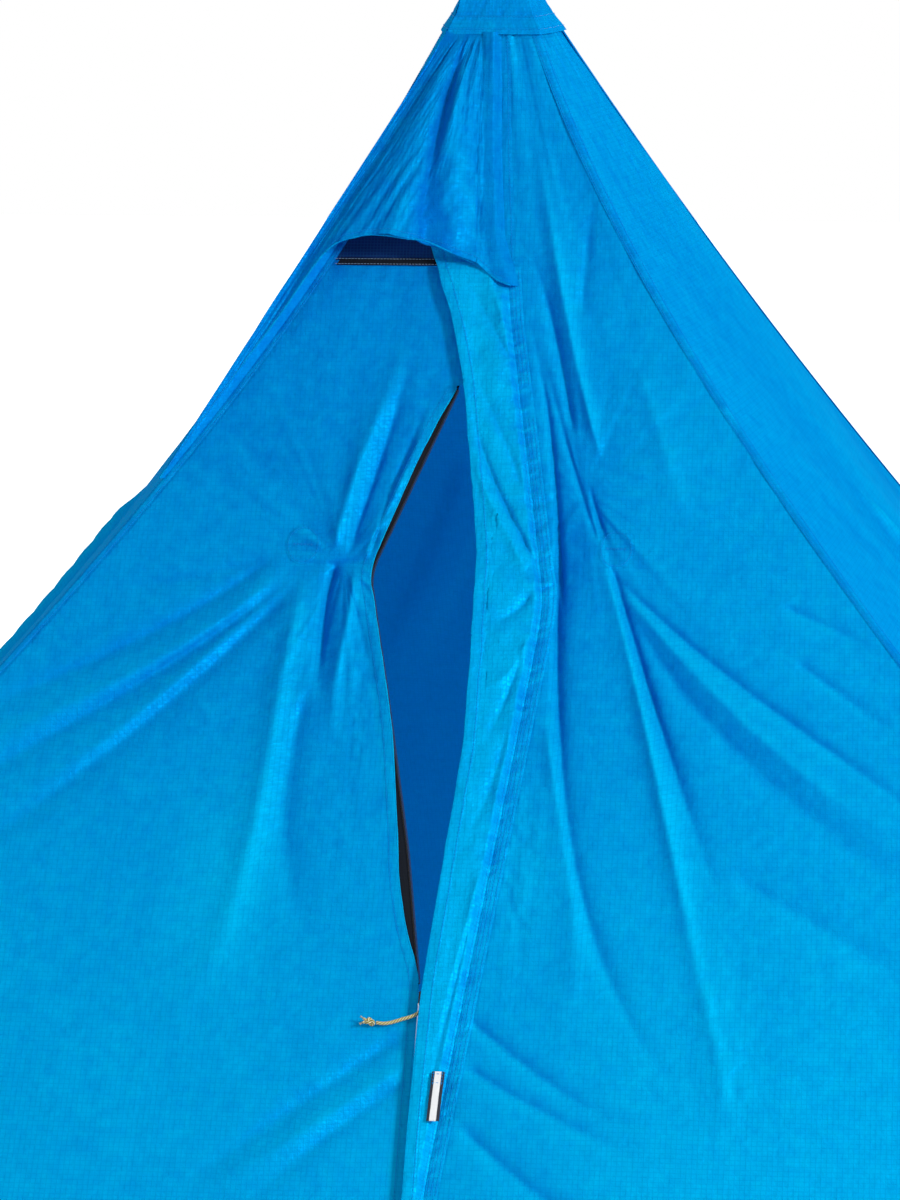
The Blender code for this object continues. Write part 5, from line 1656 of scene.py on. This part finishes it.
def alloy_finish():
    paint = Finish("pole_alloy")
    drawn = paint.add("Mapping", Vector=paint.place(), Scale=(900.0, 900.0, 6.0))
    lines = paint.noise(1.0, 3.0, 0.6, where=drawn)
    return paint.wear(
        Base_Color=paint.blend(lines, (0.42, 0.43, 0.45), (0.60, 0.61, 0.63)),
        Roughness=paint.between(lines, 0.24, 0.40), Metallic=1.0,
    )


def webbing_solid():
    paint = Finish("webbing_solid")
    ribs = paint.add(
        "TexWave", {"wave_type": "BANDS", "bands_direction": "DIAGONAL"}, output="Fac",
        Vector=paint.place(), Scale=210.0, Distortion=0.6, Detail=1.0,
    )
    return paint.wear(
        Base_Color=paint.blend(ribs, (0.008, 0.008, 0.010), (0.030, 0.030, 0.034)),
        Normal=paint.bump(ribs, 0.7, 0.0003), Roughness=0.8,
    )


FINISH_OF = {
    SLIDER_METAL: ["lower_slider", "upper_slider"],
    PLASTIC: ["peak_cup", "pole_tip", "clamp_collar", "clamp_lever"]
    + [f"ladder_lock_{end}" for end in CORNERS],
    alloy_finish(): ["pole_upper_tube", "pole_lower_tube"],
    RUBBER: ["pole_foot"],
    webbing_solid(): [f"{part}_{end}" for part in ("corner_tab", "stake_loop") for end in CORNERS]
    + [f"hem_loop_{word}" for word in ("left", "right", "back")],
}
for material, names in FINISH_OF.items():
    for name in names:
        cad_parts[name].data.materials.clear()
        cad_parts[name].data.materials.append(material)
print("solids finished:", sum(len(names) for names in FINISH_OF.values()))

# %% [markdown]
# ## Cloth facts
# Each sheet says how large it was cut. The two halves of the front and the other walls are
# triangles with hollow sides, so their cut area is well below width times length. The smaller
# pieces read their size from the UV map, which is written in metres of cloth: the closest turned
# rectangle round it is the piece that they would be cut from.

NARROWEST = 0.0105


def cut_size(piece):
    """Width and length of the turned rectangle round a sheet's UV map. A curved strip that fills
    little of it was cut straight, so its width comes from its area."""
    mesh = piece.data
    uv = np.empty(2 * len(mesh.loops), np.float32)
    mesh.uv_layers["cloth"].data.foreach_get("uv", uv)
    uv = uv.reshape(-1, 2) - uv.reshape(-1, 2).mean(axis=0)
    turn = np.linalg.eigh(uv.T @ uv)[1]
    width, length = sorted(np.ptp(uv @ turn, axis=0).astype(float))
    if area(piece) < 0.4 * width * length:
        width = 0.0
    width = max(width, area(piece) / length, NARROWEST)
    return round(width + 0.0001, 4), round(length + 0.0001, 4)


WALL_CUTS = {
    front_left: (1.15, 1.49), front_right: (1.15, 1.83),
    right_wall: (2.30, 1.83), back_wall: (2.30, 1.83), left_wall: (2.30, 1.83),
}
STRETCHED = (
    *WALL_CUTS, gore_left, gore_right, vent_mesh, top_seam, hood_crown, hood_skirt, hood_tail, brim,
    *ridge_seams.values(), *corner_patches.values(), peak_cap, *patches,
)
HUNG = (flap_top, flap_upper, flap_lower, flap_tail, flap_band, *tape_pieces.values(), tab)
for held, pieces in (("stretched", STRETCHED), ("hung", HUNG)):
    for piece in pieces:
        flat = WALL_CUTS.get(piece) or cut_size(piece)
        print(piece.name, "flat", flat, "area", round(area(piece), 4))
cut_size(vent_binding)[1]

# %% [markdown]
# ## Floor and light
# A pale floor and an even white sky stand in for the white studio. The sky and the far floor show
# white by Light Path, so no more light falls on the cloth for it. One broad lamp from the front
# right gives the folds their form, a weaker one fills from the left and a third lights the back.

# %% Floor
FLOOR_REACH = 14.0


def build_floor():
    paint = Finish("studio_floor")
    away = paint.add("VectorMath", {"operation": "LENGTH"}, output="Value", n0=paint.place())
    glow = paint.add("MapRange", Value=away, From_Min=1.8, From_Max=3.6, To_Min=0.34, To_Max=0.95)
    paint.wear(
        Base_Color=(0.86, 0.87, 0.88), Roughness=0.9, Emission_Color=(1, 1, 1),
        Emission_Strength=paint.times(seen_by(paint.tree, "Camera", "Glossy"), glow),
    )
    corners = np.array(((-1, -1, 0), (1, -1, 0), (1, 1, 0), (-1, 1, 0))) * FLOOR_REACH
    mesh = bpy.data.meshes.new("studio_floor")
    mesh.from_pydata(corners.tolist(), [], [(0, 1, 2, 3)])
    mesh.materials.append(paint.material)
    stand("studio_floor", mesh)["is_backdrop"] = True


build_floor()

# %% Sky and lamps
SKY_LEVEL = 0.48
world = bpy.data.worlds.new("studio_sky")
bpy.context.scene.world = world
world.use_nodes = True
sky = world.node_tree
seen = seen_by(sky, "Camera", "Glossy", "Transmission")
level = add_node(sky, "ShaderNodeMapRange", Value=seen, To_Min=SKY_LEVEL, To_Max=1.0).outputs[0]
set_inputs(sky, sky.nodes["Background"], Strength=level, Color=(1, 1, 1))
LAMPS = (
    ("key_lamp", (4.2, -3.0, 2.8), (0, -0.4, 0.8), 1.1, 262),
    ("fill_lamp", (-3.6, -3.0, 1.6), (0, -0.4, 0.8), 2.4, 36),
    ("back_lamp", (0.5, 4.0, 3.2), (0, 0, 0.8), 2.4, 60),
)
for name, place, aim, size, power in LAMPS:
    lamp = stand(name, bpy.data.lights.new(name, "AREA"))
    lamp.data.shape = "DISK"
    lamp.data.size = size
    lamp.data.energy = power
    lamp.location = place
    lamp.rotation_euler = look_along(Vector(aim) - Vector(place))
bpy.context.scene.view_settings.view_transform = "Standard"
print("sky level", SKY_LEVEL)

# %% Sizes and finish
size = {"cad": [list(c) for c in cad_box], "visual": [list(c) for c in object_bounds()]}
print("visual box", [[round(v, 4) for v in c] for c in size["visual"]])
